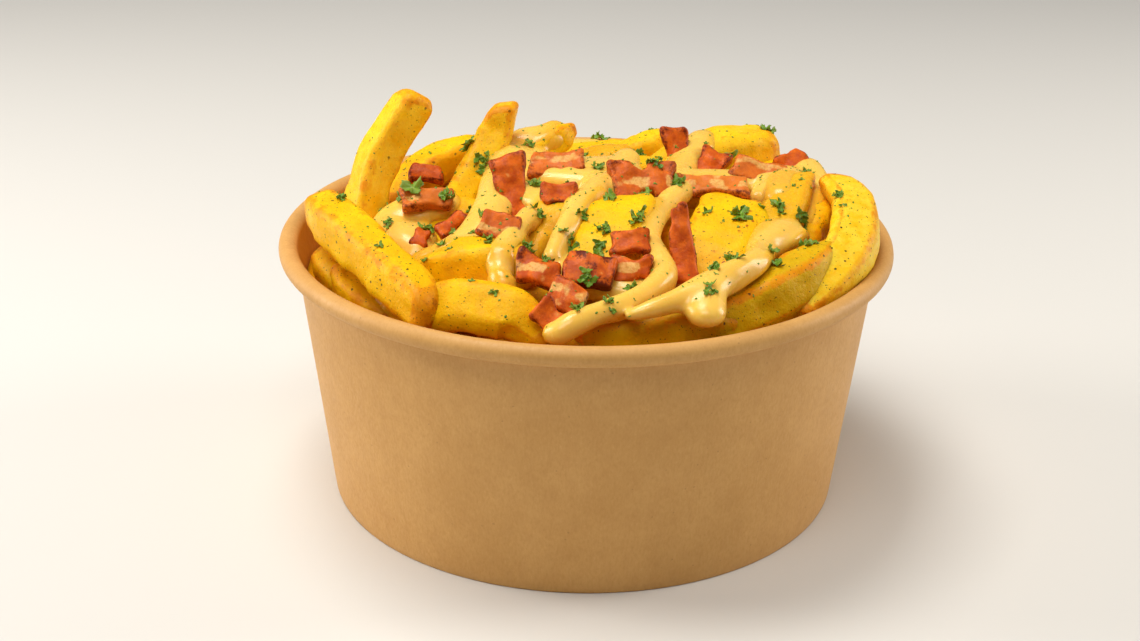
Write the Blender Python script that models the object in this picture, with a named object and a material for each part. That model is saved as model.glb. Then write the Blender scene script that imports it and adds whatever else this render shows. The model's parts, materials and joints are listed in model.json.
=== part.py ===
# Loaded potato fries in a round kraft paper bowl: fries, cheese sauce, bacon.
# Origin: centre of the bowl's foot.  +Z up, +X right, -Y front.
import math
import random

import bmesh
import bpy
from mathutils import Matrix, Vector

MM = 0.001

# ---- bowl (mm) -------------------------------------------------------------
BOWL_HEIGHT = 65.8        # foot to top of the rolled rim
RIM_RADIUS = 75.0         # outside of the rolled rim
RIM_ROLL = 4.6            # thickness of the roll
WALL_TOP_RADIUS = 71.4    # outside of the wall at the rim
FOOT_RADIUS = 63.6        # outside of the wall at the foot
WALL = 0.6                # paper board
FOOT_WIDTH = 1.6          # folded edge that the bowl stands on
FLOOR_HEIGHT = 7.5        # the base is set in above the foot
FLOOR = 0.8
TURN_STEPS = 48
ROLL_STEPS = 11

FLAT_WITHIN = 2.5         # degrees: faces nearer to flat than this are joined
GAP = 0.3                 # clearance between neighbouring pieces

# ---- heap (mm) -------------------------------------------------------------
CORE_CENTRE = 72.0        # packed fries under the loose ones, highest point
CORE_EDGE = 58.4          # and where they meet the wall

# Potato pieces that stand out of the heap: path of the middle line, width,
# thickness, roll about the length in degrees.
FRIES = [
    ("tall_left", [(-43.5, 15.5, 92.0), (-49.5, 12, 83), (-53.5, 8, 75), (-55.5, 4, 66), (-57, 1, 56)], 10.2, 9.8, 0),
    ("over_rim_left", [(-62.5, -13, 74), (-57, -24, 73.5), (-48, -37, 71.5), (-41, -46, 69), (-36, -53, 66.5)], 10.4, 11.0, 0),
    ("low_left_1", [(-62, -13, 62), (-58, -20, 60), (-51, -29, 56)], 10.0, 9.5, 0),
    ("low_left_2", [(-56, -24, 61), (-51, -32, 58), (-41, -38, 54)], 10.5, 10.0, 0),
    ("low_left_3", [(-46, -35, 59), (-36, -41, 55)], 10.0, 9.0, 0),
    ("back_left", [(-50, 19, 64), (-41.5, 29, 70), (-31, 36, 71.5), (-20, 40, 69)], 9.5, 10.0, 0),
    ("tall_middle", [(-21.5, 22, 88.5), (-24, 20, 82), (-29, 12, 74), (-34, 0, 69), (-39, -12, 64)], 8.4, 8.6, 0),
    ("back_tip", [(-18, 20, 75), (-5.5, 30, 80.5)], 7.4, 7.0, 0),
    ("back_1", [(-10, 40, 68), (9, 44, 69.5)], 9.0, 9.0, 0),
    ("back_2", [(3, 38, 68), (21, 44, 73)], 9.5, 9.5, 0),
    ("back_right", [(20, 24, 70), (34, 31, 75), (46, 36, 75.3)], 13.5, 11.5, 0),
    ("back_right_low", [(42, 26, 68), (52, 27, 72)], 8.0, 8.0, 0),
    ("wedge_right", [(62.5, 1, 76), (65, -10, 74.5), (63, -23, 71), (58, -33, 67), (50, -42, 62)], 14.4, 11.0, 40),
    ("wedge_front_right", [(57, -26.5, 71.5), (50.5, -35.5, 69), (42, -43, 66.5), (30, -49, 62.5), (20, -52, 60)], 14.5, 11.5, 28),
    ("chunk_right", [(30, -35, 62), (34, -21, 69), (37, -8, 71)], 20.0, 13.0, 0),
    ("chunk_middle", [(2, -38, 65), (6, -25, 72.5), (9, -16, 74.5)], 17.0, 12.0, 0),
    ("wedge_front_left", [(-34.5, -49.5, 64.5), (-27, -52, 67.2), (-16, -54.5, 66), (-10, -57.5, 62)], 15.0, 12.5, -10),
    ("coated_left", [(-39, -31, 64), (-28, -36, 69.5), (-15, -37, 70)], 11.5, 10.5, 0),
    ("coated_middle", [(-15, -27, 66), (-6.5, -15, 74)], 10.0, 10.0, 0),
    ("coated_right", [(51, 4, 74.5), (47.5, -9, 72), (41, -23, 67.5)], 11.0, 10.5, 0),
    ("low_right", [(56, -2, 71), (50, -16, 65)], 9.5, 9.0, 0),
    ("front_rim", [(0, -55, 60.5), (16, -53, 61), (30, -49, 60)], 10.0, 10.0, 0),
    ("low_middle", [(-3, -34, 66), (9, -45, 61)], 9.0, 9.0, 0),
    ("under_sheet_1", [(-17, 20, 69), (10, 25, 74)], 10.0, 10.0, 0),
    ("under_sheet_2", [(-3, 33, 69), (22, 15, 73.5)], 10.0, 9.5, 0),
    ("under_sheet_3", [(-20, -5, 69), (14, -3, 73.5)], 10.5, 10.0, 0),
    ("under_bacon", [(22, 8, 69), (46, 15, 71.5)], 10.0, 10.0, 0),
    ("under_patch", [(-52, -4, 61), (-40, 0, 66), (-26, -4, 68)], 10.0, 10.0, 0),
    ("behind_1", [(-54, 26, 58.5), (-44, 44, 61.5), (-28, 56, 61)], 10.0, 9.5, 0),
    ("behind_2", [(-24, 57, 59), (-2, 60, 62), (20, 58, 61.5)], 10.5, 10.0, 0),
    ("behind_3", [(24, 55, 60), (41, 47, 62.5), (54, 33, 62)], 10.0, 10.5, 0),
    ("behind_4", [(60, 8, 62), (61, 22, 64), (55, 34, 60)], 9.0, 9.0, 0),
]

# Runs of poured sauce: middle line and half width at each point.
SAUCE_DEPTH = 6.4
SAUCE = [
    ("fall_left", [(-18.5, 16, 77.5, 4.5), (-21, 3, 76.5, 5), (-22, -12, 75.5, 5), (-25.5, -24, 72.5, 5), (-31.5, -29.5, 69.8, 4.2), (-37, -31, 67, 2.5)]),
    ("fall_left_side", [(-24, -22, 73, 4), (-20, -27, 72, 3.4), (-16, -29, 71.5, 2.6)]),
    ("sheet", [(-20, 21, 76.5, 6), (-12, 10, 77.5, 9), (-2, 5, 78, 9), (6, 5, 78, 8), (9, -4, 78, 5)]),
    ("sheet_low", [(-16, -6, 76.3, 5), (-10.5, -12, 76.2, 4.5)]),
    ("strip_middle", [(3.5, -4.5, 78, 3.8), (-1.5, -17, 77.8, 2.7), (-5.5, -29, 75.6, 2.3), (-8, -38.5, 72.6, 2.2)]),
    ("strip_short", [(-13.5, -22, 76.4, 2.6), (-16, -29.5, 76, 2.4), (-18.6, -37, 74.4, 2.3), (-19.5, -42.5, 71.8, 2.5), (-18.5, -46.5, 69, 2.5)]),
    ("strip_long", [(22.5, -4, 76.5, 3.4), (17, -18, 76, 2.7), (14.5, -31, 74.6, 2.5), (16, -39, 73, 2.8), (17, -46, 70.8, 3.2), (11.5, -54, 69.3, 2.8), (3, -60, 68.3, 2.6), (-3, -63.5, 67, 3), (-6, -65, 65.5, 2.8)]),
    ("strip_front", [(9, -62, 68.5, 1.4), (14, -60.5, 69.5, 2.2), (20.5, -57, 70.5, 2.8), (27, -52, 71.5, 4), (33, -47, 73, 3), (37, -42, 73.5, 2.6), (40.5, -30, 72, 3), (44.5, -23, 72.5, 4.5), (48, -20, 71.5, 3.5)]),
    ("drop_front", [(26.5, -54, 71, 4), (25.5, -60, 68.5, 4.6)]),
    ("fall_right", [(55.5, 18, 75, 4.6), (57, 11, 73.2, 4.4), (55, 1, 71.5, 4.2), (52, -8, 70, 3.6)]),
    ("film_right", [(44, 2, 73.5, 4), (50, 11, 75, 5), (47.5, -3, 74.5, 4)]),
    ("patch_left", [(-36.5, -2, 72, 5), (-43, -4, 70.5, 6), (-48, -8, 68.5, 4), (-43, -14, 68, 6), (-40, -19, 66.5, 4)]),
    ("bump_back", [(-20, 24, 76.5, 3.5), (-16, 27, 79, 4.5), (-11, 28, 79.5, 4.5), (-8, 30, 79.5, 3)]),
    ("bump_middle", [(8.5, 6, 78.5, 3.2), (10, 12, 79, 3.6)]),
    ("bump_right", [(22, 8, 75.8, 3.5), (25, 18, 76.5, 3.8), (28, 26, 78, 4), (29.5, 30, 78.5, 3)]),
    ("band_right", [(21, 2, 76.8, 4), (30, 8, 75, 4), (40, 10, 74.3, 4), (50, 12, 74.3, 4)]),
    ("pool_front", [(-3, -41, 69.5, 5), (3, -44, 68.5, 5), (9, -46, 68, 5)]),
    ("run_behind", [(-18, 24, 76, 4), (-19, 38, 73.5, 4.5), (-8, 49, 69.5, 4.5), (8, 52, 68.5, 4), (20, 51, 68, 3)]),
]

# Bacon: middle, length, width, thickness, turn of the length in the face,
# lift of the face from upright (90 lies flat), seed of the torn outline.
BACON = [
    ("bacon_01", (-18, -10.5, 79), 18.5, 6.8, 2.8, 97, 38),
    ("bacon_02", (-20, -31, 77), 9.5, 5.8, 3.0, -20, 45),
    ("bacon_03", (-7.5, 3.5, 80.8), 13.0, 6.8, 3.0, 8, 55),
    ("bacon_04", (-7, -15.5, 79.6), 8.2, 5.2, 3.0, 0, 50),
    ("bacon_05", (13.5, -6, 79.5), 14.0, 9.0, 4.2, 5, 50),
    ("bacon_06", (23, 20, 78), 13.0, 5.2, 3.0, 98, 30),
    ("bacon_07", (31.5, 17, 76.5), 7.5, 6.6, 4.5, 60, 45),
    ("bacon_08", (31.5, -2.5, 77.6), 17.5, 6.0, 2.6, -6, 65),
    ("bacon_09", (43.5, 9.5, 76.8), 14.5, 6.0, 3.0, -12, 55),
    ("bacon_10", (52, 18, 76.8), 8.0, 6.0, 3.2, 35, 45),
    ("bacon_11", (21.5, -37.5, 74.8), 18.5, 5.4, 3.0, 97, 30),
    ("bacon_12", (0.8, -47.8, 73), 11.5, 7.4, 3.8, -10, 45),
    ("bacon_13", (10, -37.8, 76), 8.5, 5.6, 3.2, 8, 45),
    ("bacon_14", (10, -45.2, 72), 8.5, 6.2, 3.6, 0, 45),
    ("bacon_15", (-10.8, -47, 72.3), 10.0, 7.0, 3.6, -20, 45),
    ("bacon_16", (-4.8, -54.5, 69.3), 8.5, 7.2, 3.4, -25, 40),
    ("bacon_17", (-8.6, -61, 67.8), 7.0, 5.4, 3.2, -50, 40),
    ("bacon_18", (-38.3, -7, 75), 12.0, 5.8, 3.4, 5, 55),
    ("bacon_19", (-40.5, 19, 72.8), 8.0, 4.8, 3.2, -10, 50),
    ("bacon_20", (-32, -18, 72.5), 7.5, 3.2, 2.8, 38, 45),
    ("bacon_21", (-39, -19.5, 69.5), 5.0, 3.4, 2.6, 70, 45),
    ("bacon_22", (-9, 56.5, 68.8), 10.0, 6.5, 3.0, 20, 115),
    ("bacon_23", (15, 57, 68.8), 9.0, 6.0, 3.0, -35, 115),
    ("bacon_24", (41, 48, 69.5), 8.5, 6.0, 3.0, 30, 105),
]

for leftover in list(bpy.data.objects):
    bpy.data.objects.remove(leftover, do_unlink=True)


# ---- helpers ---------------------------------------------------------------
def material(name, colour, roughness, metallic=0.0):
    mat = bpy.data.materials.new(name)
    mat.use_nodes = True
    shader = mat.node_tree.nodes["Principled BSDF"]
    shader.inputs["Base Color"].default_value = (*colour, 1.0)
    shader.inputs["Roughness"].default_value = roughness
    shader.inputs["Metallic"].default_value = metallic
    mat.diffuse_color = (*colour, 1.0)
    return mat


def object_from(name, bm, mat=None):
    bmesh.ops.recalc_face_normals(bm, faces=bm.faces)
    mesh = bpy.data.meshes.new(name)
    bm.to_mesh(mesh)
    bm.free()
    obj = bpy.data.objects.new(name, mesh)
    bpy.context.scene.collection.objects.link(obj)
    if mat is not None:
        mesh.materials.append(mat)
    return obj


def turned(name, profile, steps, mat=None):
    """Closed profile of (radius, height) in mm, turned about the Z axis."""
    bm = bmesh.new()
    rings = []
    for radius, height in profile:
        if radius < 1e-6:
            rings.append([bm.verts.new((0, 0, height * MM))])
            continue
        ring = []
        for k in range(steps):
            a = 2 * math.pi * k / steps
            ring.append(bm.verts.new((radius * MM * math.cos(a), radius * MM * math.sin(a), height * MM)))
        rings.append(ring)
    for i in range(len(rings)):
        one, two = rings[i], rings[(i + 1) % len(rings)]
        if len(one) == 1 and len(two) == 1:
            continue
        for k in range(steps):
            n = (k + 1) % steps
            if len(one) == 1:
                bm.faces.new((one[0], two[k], two[n]))
            elif len(two) == 1:
                bm.faces.new((one[k], two[0], one[n]))
            else:
                bm.faces.new((one[k], two[k], two[n], one[n]))
    if mat is None:
        bmesh.ops.triangulate(bm, faces=bm.faces)
    return object_from(name, bm, mat)


def smooth_path(points, steps):
    """Catmull-Rom curve through points of any dimension."""
    pts = [list(p) for p in points]
    first = [2 * a - b for a, b in zip(pts[0], pts[1])]
    last = [2 * a - b for a, b in zip(pts[-1], pts[-2])]
    pts = [first] + pts + [last]
    spans = len(pts) - 3
    out = []
    for s in range(steps + 1):
        f = spans * s / steps
        i = min(int(f), spans - 1)
        t = f - i
        a, b, c, d = pts[i:i + 4]
        out.append([0.5 * (2 * q + (-p + r) * t + (2 * p - 5 * q + 4 * r - w) * t * t
                           + (-p + 3 * q - 3 * r + w) * t ** 3) for p, q, r, w in zip(a, b, c, d)])
    return out


def swept(name, path, widths, depths, roll, power, grow, end_round, mat=None, sides=8):
    """Rounded section carried along a path; the ends are drawn in."""
    centres = [Vector(p[:3]) for p in path]
    count = len(centres)
    tangents = []
    for i in range(count):
        t = centres[min(i + 1, count - 1)] - centres[max(i - 1, 0)]
        tangents.append(t.normalized())
    stations = [(centres[i], tangents[i], widths[i], depths[i]) for i in range(count)]
    cap = end_round * min(widths[0], depths[0])
    first, last = stations[0], stations[-1]
    head = (first[0] - first[1] * (cap + grow), first[1], first[2] * 0.72, first[3] * 0.72)
    tail = (last[0] + last[1] * (cap + grow), last[1], last[2] * 0.72, last[3] * 0.72)
    stations = [head] + stations + [tail]
    bm = bmesh.new()
    rings = []
    side = None
    for centre, tangent, width, depth in stations:
        if side is None:
            up = Vector((0, 0, 1)) if abs(tangent.z) < 0.8 else Vector((0, 1, 0))
            side = tangent.cross(up).normalized()
        side = (side - tangent * side.dot(tangent)).normalized()
        over = side.cross(tangent).normalized()
        turn = Matrix.Rotation(math.radians(roll), 3, tangent)
        a_side, a_over = turn @ side, turn @ over
        ring = []
        for k in range(sides):
            ang = 2 * math.pi * (k + 0.5) / sides
            cx = math.copysign(abs(math.cos(ang)) ** power, math.cos(ang))
            cy = math.copysign(abs(math.sin(ang)) ** power, math.sin(ang))
            p = centre + a_side * cx * (width / 2 + grow) + a_over * cy * (depth / 2 + grow)
            ring.append(bm.verts.new(p * MM))
        rings.append(ring)
    for one, two in zip(rings, rings[1:]):
        for k in range(sides):
            n = (k + 1) % sides
            bm.faces.new((one[k], one[n], two[n], two[k]))
    bm.faces.new(rings[0])
    bm.faces.new(list(reversed(rings[-1])))
    bmesh.ops.triangulate(bm, faces=bm.faces)
    return object_from(name, bm, mat)


def slab(name, middle, length, width, thick, turn, lift, seed, grow, mat=None):
    """Irregular little slab: torn outline, faces nearly flat."""
    rng = random.Random(seed)
    e = math.radians(lift)
    normal = Vector((0, -math.cos(e), math.sin(e)))
    right = Vector((1, 0, 0))
    upward = normal.cross(right)
    a = math.radians(turn)
    along = right * math.cos(a) + upward * math.sin(a)
    across = normal.cross(along)
    corners = 8
    outline = []
    for k in range(corners):
        ang = 2 * math.pi * (k + 0.5) / corners
        x = math.copysign(abs(math.cos(ang)) ** 0.5, math.cos(ang)) * rng.uniform(0.94, 1.08)
        y = math.copysign(abs(math.sin(ang)) ** 0.5, math.sin(ang)) * rng.uniform(0.9, 1.1)
        outline.append((x, y))
    bm = bmesh.new()
    rings = []
    for level, shrink in ((-0.5, 0.9), (-0.25, 1.0), (0.25, 1.0), (0.5, 0.88)):
        ring = []
        for x, y in outline:
            p = (Vector(middle) + along * x * (shrink * length / 2 + grow)
                 + across * y * (shrink * width / 2 + grow)
                 + normal * (level * thick + math.copysign(grow, level)))
            ring.append(bm.verts.new(p * MM))
        rings.append(ring)
    for one, two in zip(rings, rings[1:]):
        for k in range(corners):
            n = (k + 1) % corners
            bm.faces.new((one[k], one[n], two[n], two[k]))
    bm.faces.new(rings[0])
    bm.faces.new(list(reversed(rings[-1])))
    bmesh.ops.triangulate(bm, faces=bm.faces)
    return object_from(name, bm, mat)


def combine(target, other, operation, keep=False):
    mod = target.modifiers.new(operation, "BOOLEAN")
    mod.operation = operation
    mod.solver = "EXACT"
    mod.object = other
    bpy.context.view_layer.update()
    graph = bpy.context.evaluated_depsgraph_get()
    mesh = bpy.data.meshes.new_from_object(target.evaluated_get(graph))
    target.modifiers.clear()
    target.data = mesh
    bm = bmesh.new()
    bm.from_mesh(mesh)
    bmesh.ops.triangulate(bm, faces=bm.faces)
    bm.to_mesh(mesh)
    bm.free()
    if not keep:
        bpy.data.objects.remove(other, do_unlink=True)


def is_closed(bm):
    return all(len(edge.link_faces) == 2 for edge in bm.edges)


def tidy(obj):
    """Merge the slivers that cutting leaves, as far as the body stays closed."""
    for merge in (0.0001, 0.00005, 0.00002, 0.00001, 0.000003, 0.0):
        bm = bmesh.new()
        bm.from_mesh(obj.data)
        if merge:
            bmesh.ops.remove_doubles(bm, verts=bm.verts, dist=merge)
            bmesh.ops.dissolve_degenerate(bm, edges=bm.edges, dist=merge)
            bmesh.ops.dissolve_limit(bm, angle_limit=math.radians(FLAT_WITHIN), verts=bm.verts, edges=bm.edges)
        bmesh.ops.triangulate(bm, faces=bm.faces)
        loose = [v for v in bm.verts if not v.link_faces]
        bmesh.ops.delete(bm, geom=loose, context="VERTS")
        if is_closed(bm) or not merge:
            bmesh.ops.recalc_face_normals(bm, faces=bm.faces)
            bm.to_mesh(obj.data)
            bm.free()
            return merge
        bm.free()


def loose_bodies(obj):
    """Vertex index sets of the separate bodies, with each one's volume."""
    bm = bmesh.new()
    bm.from_mesh(obj.data)
    bm.faces.ensure_lookup_table()
    todo = set(f.index for f in bm.faces)
    bodies = []
    while todo:
        seed = min(todo)
        stack = [bm.faces[seed]]
        todo.discard(seed)
        found = [seed]
        while stack:
            face = stack.pop()
            for edge in face.edges:
                for other in edge.link_faces:
                    if other.index in todo:
                        todo.discard(other.index)
                        found.append(other.index)
                        stack.append(other)
        volume = 0.0
        for index in found:
            v = [w.co for w in bm.faces[index].verts]
            for j in range(1, len(v) - 1):
                volume += v[0].dot(v[j].cross(v[j + 1])) / 6
        bodies.append((volume, set(found)))
    bm.free()
    bodies.sort(key=lambda b: -b[0])
    return bodies


def only_faces(obj, keep):
    bm = bmesh.new()
    bm.from_mesh(obj.data)
    drop = [f for f in bm.faces if f.index not in keep]
    bmesh.ops.delete(bm, geom=drop, context="FACES")
    bmesh.ops.delete(bm, geom=[v for v in bm.verts if not v.link_faces], context="VERTS")
    bm.to_mesh(obj.data)
    bm.free()


def copy_of(obj, name):
    twin = bpy.data.objects.new(name, obj.data.copy())
    bpy.context.scene.collection.objects.link(twin)
    return twin


# ---- bowl ------------------------------------------------------------------
def wall_radius(height):
    return FOOT_RADIUS + (WALL_TOP_RADIUS - FOOT_RADIUS) * height / BOWL_HEIGHT


ROLL_R = RIM_ROLL / 2
ROLL_CENTRE = (RIM_RADIUS - ROLL_R, BOWL_HEIGHT - ROLL_R)
FLOOR_TOP = FLOOR_HEIGHT + FLOOR


def roll_points(grow, first, last, steps):
    pts = []
    for k in range(steps + 1):
        a = math.radians(first + (last - first) * k / steps)
        pts.append((ROLL_CENTRE[0] + (ROLL_R + grow) * math.cos(a), ROLL_CENTRE[1] + (ROLL_R + grow) * math.sin(a)))
    return pts


kraft = material("kraft_board", (0.62, 0.42, 0.23), 0.75)
potato = material("fried_potato", (0.85, 0.50, 0.07), 0.45)
cheese = material("cheese_sauce", (0.90, 0.55, 0.16), 0.25)
cured = material("bacon", (0.50, 0.12, 0.05), 0.4)

roll = roll_points(0, -150, 180, ROLL_STEPS)
bowl_profile = ([(FOOT_RADIUS - FOOT_WIDTH, 0), (FOOT_RADIUS, 0)]
                + roll
                + [(wall_radius(FLOOR_TOP) - WALL, FLOOR_TOP), (0, FLOOR_TOP), (0, FLOOR_HEIGHT),
                   (wall_radius(FLOOR_HEIGHT) - FOOT_WIDTH, FLOOR_HEIGHT)])
bowl = turned("bowl", bowl_profile, TURN_STEPS, kraft)

# room that the bowl takes with its clearance, above the floor
ring_profile = ([(wall_radius(4) - WALL - GAP, 4), (wall_radius(4) + 9, 4), (RIM_RADIUS + 12, BOWL_HEIGHT - ROLL_R)]
                + roll_points(GAP, 0, 180, ROLL_STEPS))
bowl_room = turned("bowl_room", ring_profile, TURN_STEPS)

# ---- heap of fries ---------------------------------------------------------
def core(name, grow):
    floor_z = FLOOR_TOP + GAP
    clear = WALL + 1.5 * GAP
    edge = CORE_EDGE + grow
    rim = wall_radius(edge) - clear
    profile = [(0, floor_z), (wall_radius(floor_z) - clear, floor_z), (rim, edge)]
    for share in (0.72, 0.4):
        profile.append((rim * share, edge + (CORE_CENTRE - CORE_EDGE) * (1 - share ** 2)))
    profile.append((0, CORE_CENTRE + grow))
    return turned(name, profile, TURN_STEPS)


def fry(row, grow):
    name, points, width, depth, roll_angle = row
    path = smooth_path(points, max(len(points) - 1, 2))
    n = len(path)
    return swept("fry_" + name, path, [width] * n, [depth] * n, roll_angle, 0.72, grow, 0.16)


def heap(name, grow):
    body = core(name, grow)
    for row in FRIES:
        combine(body, fry(row, grow), "UNION")
    combine(body, bowl_room, "DIFFERENCE", keep=True)
    return body


fries_heap = heap("fries_heap", 0.0)
fries_heap.data.materials.clear()
fries_heap.data.materials.append(potato)
heap_room = heap("heap_room", GAP)

# ---- bacon -----------------------------------------------------------------
bacon = []
for index, (name, middle, length, width, thick, turn, lift) in enumerate(BACON):
    piece = slab(name, middle, length, width, thick, turn, lift, 31 + index, 0.0, cured)
    combine(piece, heap_room, "DIFFERENCE", keep=True)
    for j in range(index):
        other = BACON[j]
        near = (Vector(other[1]) - Vector(middle)).length
        if near < (length + other[2]) / 2 + 1.5:
            cutter = slab("cutter", other[1], other[2], other[3], other[4], other[5], other[6], 31 + j, GAP)
            combine(piece, cutter, "DIFFERENCE")
    tidy(piece)
    bodies = loose_bodies(piece)
    if len(bodies) > 1:
        only_faces(piece, bodies[0][1])
    bacon.append(piece)

# ---- cheese sauce ----------------------------------------------------------
def run_of_sauce(row):
    name, points = row
    path = smooth_path(points, len(points) - 1)
    halves = [p[3] for p in path]
    return swept("run_" + name, path, [2 * h for h in halves], [min(2 * h, SAUCE_DEPTH) for h in halves],
                 0, 1.0, 0.0, 0.3)


sauce = run_of_sauce(SAUCE[0])
for row in SAUCE[1:]:
    combine(sauce, run_of_sauce(row), "UNION")
combine(sauce, heap_room, "DIFFERENCE", keep=True)
combine(sauce, bowl_room, "DIFFERENCE", keep=True)
for index, (name, middle, length, width, thick, turn, lift) in enumerate(BACON):
    combine(sauce, slab("cutter", middle, length, width, thick, turn, lift, 31 + index, GAP), "DIFFERENCE")
tidy(sauce)
SMALLEST_POOL = 100
number = 0
for volume, faces in loose_bodies(sauce):
    if volume < SMALLEST_POOL * MM ** 3:
        continue
    number += 1
    pool = copy_of(sauce, "cheese_sauce_%02d" % number)
    only_faces(pool, faces)
    pool.data.materials.clear()
    pool.data.materials.append(cheese)
bpy.data.objects.remove(sauce, do_unlink=True)
bpy.data.objects.remove(heap_room, do_unlink=True)
bpy.data.objects.remove(bowl_room, do_unlink=True)

tidy(fries_heap)
bodies = loose_bodies(fries_heap)
if len(bodies) > 1:
    only_faces(fries_heap, bodies[0][1])
for face in bowl.data.polygons:
    face.use_smooth = True
bowl.data.set_sharp_from_angle(angle=math.radians(40))
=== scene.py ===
import json
import math

import bpy
import numpy as np
from mathutils import Matrix, Vector
from mathutils.bvhtree import BVHTree

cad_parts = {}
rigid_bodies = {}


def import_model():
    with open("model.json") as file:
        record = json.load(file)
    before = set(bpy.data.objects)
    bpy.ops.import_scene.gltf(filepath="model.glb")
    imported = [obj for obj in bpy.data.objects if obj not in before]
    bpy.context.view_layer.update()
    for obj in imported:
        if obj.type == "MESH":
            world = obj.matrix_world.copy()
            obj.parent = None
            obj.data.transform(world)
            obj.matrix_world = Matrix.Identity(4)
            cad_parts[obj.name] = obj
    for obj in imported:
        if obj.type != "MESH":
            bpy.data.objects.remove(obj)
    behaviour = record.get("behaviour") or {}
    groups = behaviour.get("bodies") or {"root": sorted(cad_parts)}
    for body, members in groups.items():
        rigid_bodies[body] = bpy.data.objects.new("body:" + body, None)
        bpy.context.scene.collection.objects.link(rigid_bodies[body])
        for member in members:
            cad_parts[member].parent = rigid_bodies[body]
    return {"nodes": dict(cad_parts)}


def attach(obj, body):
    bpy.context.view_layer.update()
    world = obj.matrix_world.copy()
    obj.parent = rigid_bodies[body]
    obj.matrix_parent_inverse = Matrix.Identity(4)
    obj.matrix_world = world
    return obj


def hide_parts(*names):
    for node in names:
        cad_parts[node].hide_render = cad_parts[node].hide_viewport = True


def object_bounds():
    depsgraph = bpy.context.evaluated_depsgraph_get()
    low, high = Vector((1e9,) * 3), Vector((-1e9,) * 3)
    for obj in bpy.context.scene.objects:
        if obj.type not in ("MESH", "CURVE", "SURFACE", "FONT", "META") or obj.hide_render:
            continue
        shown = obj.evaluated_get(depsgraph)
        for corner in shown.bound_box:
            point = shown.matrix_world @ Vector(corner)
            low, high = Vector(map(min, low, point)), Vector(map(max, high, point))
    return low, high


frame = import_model()
CAD_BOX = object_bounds()
MM = 0.001

# ---------------------------------------------------------------- the layout (mm), as in the part
BOWL_HEIGHT, RIM_RADIUS, RIM_ROLL = 65.8, 75.0, 4.6
WALL_TOP_RADIUS, FOOT_RADIUS, WALL, FOOT_WIDTH = 71.4, 63.6, 0.6, 1.6
FLOOR_HEIGHT, FLOOR = 7.5, 0.8
ROLL_R = RIM_ROLL / 2
ROLL_C = (RIM_RADIUS - ROLL_R, BOWL_HEIGHT - ROLL_R)


def wall_radius(z):
    return FOOT_RADIUS + (WALL_TOP_RADIUS - FOOT_RADIUS) * z / BOWL_HEIGHT


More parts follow.
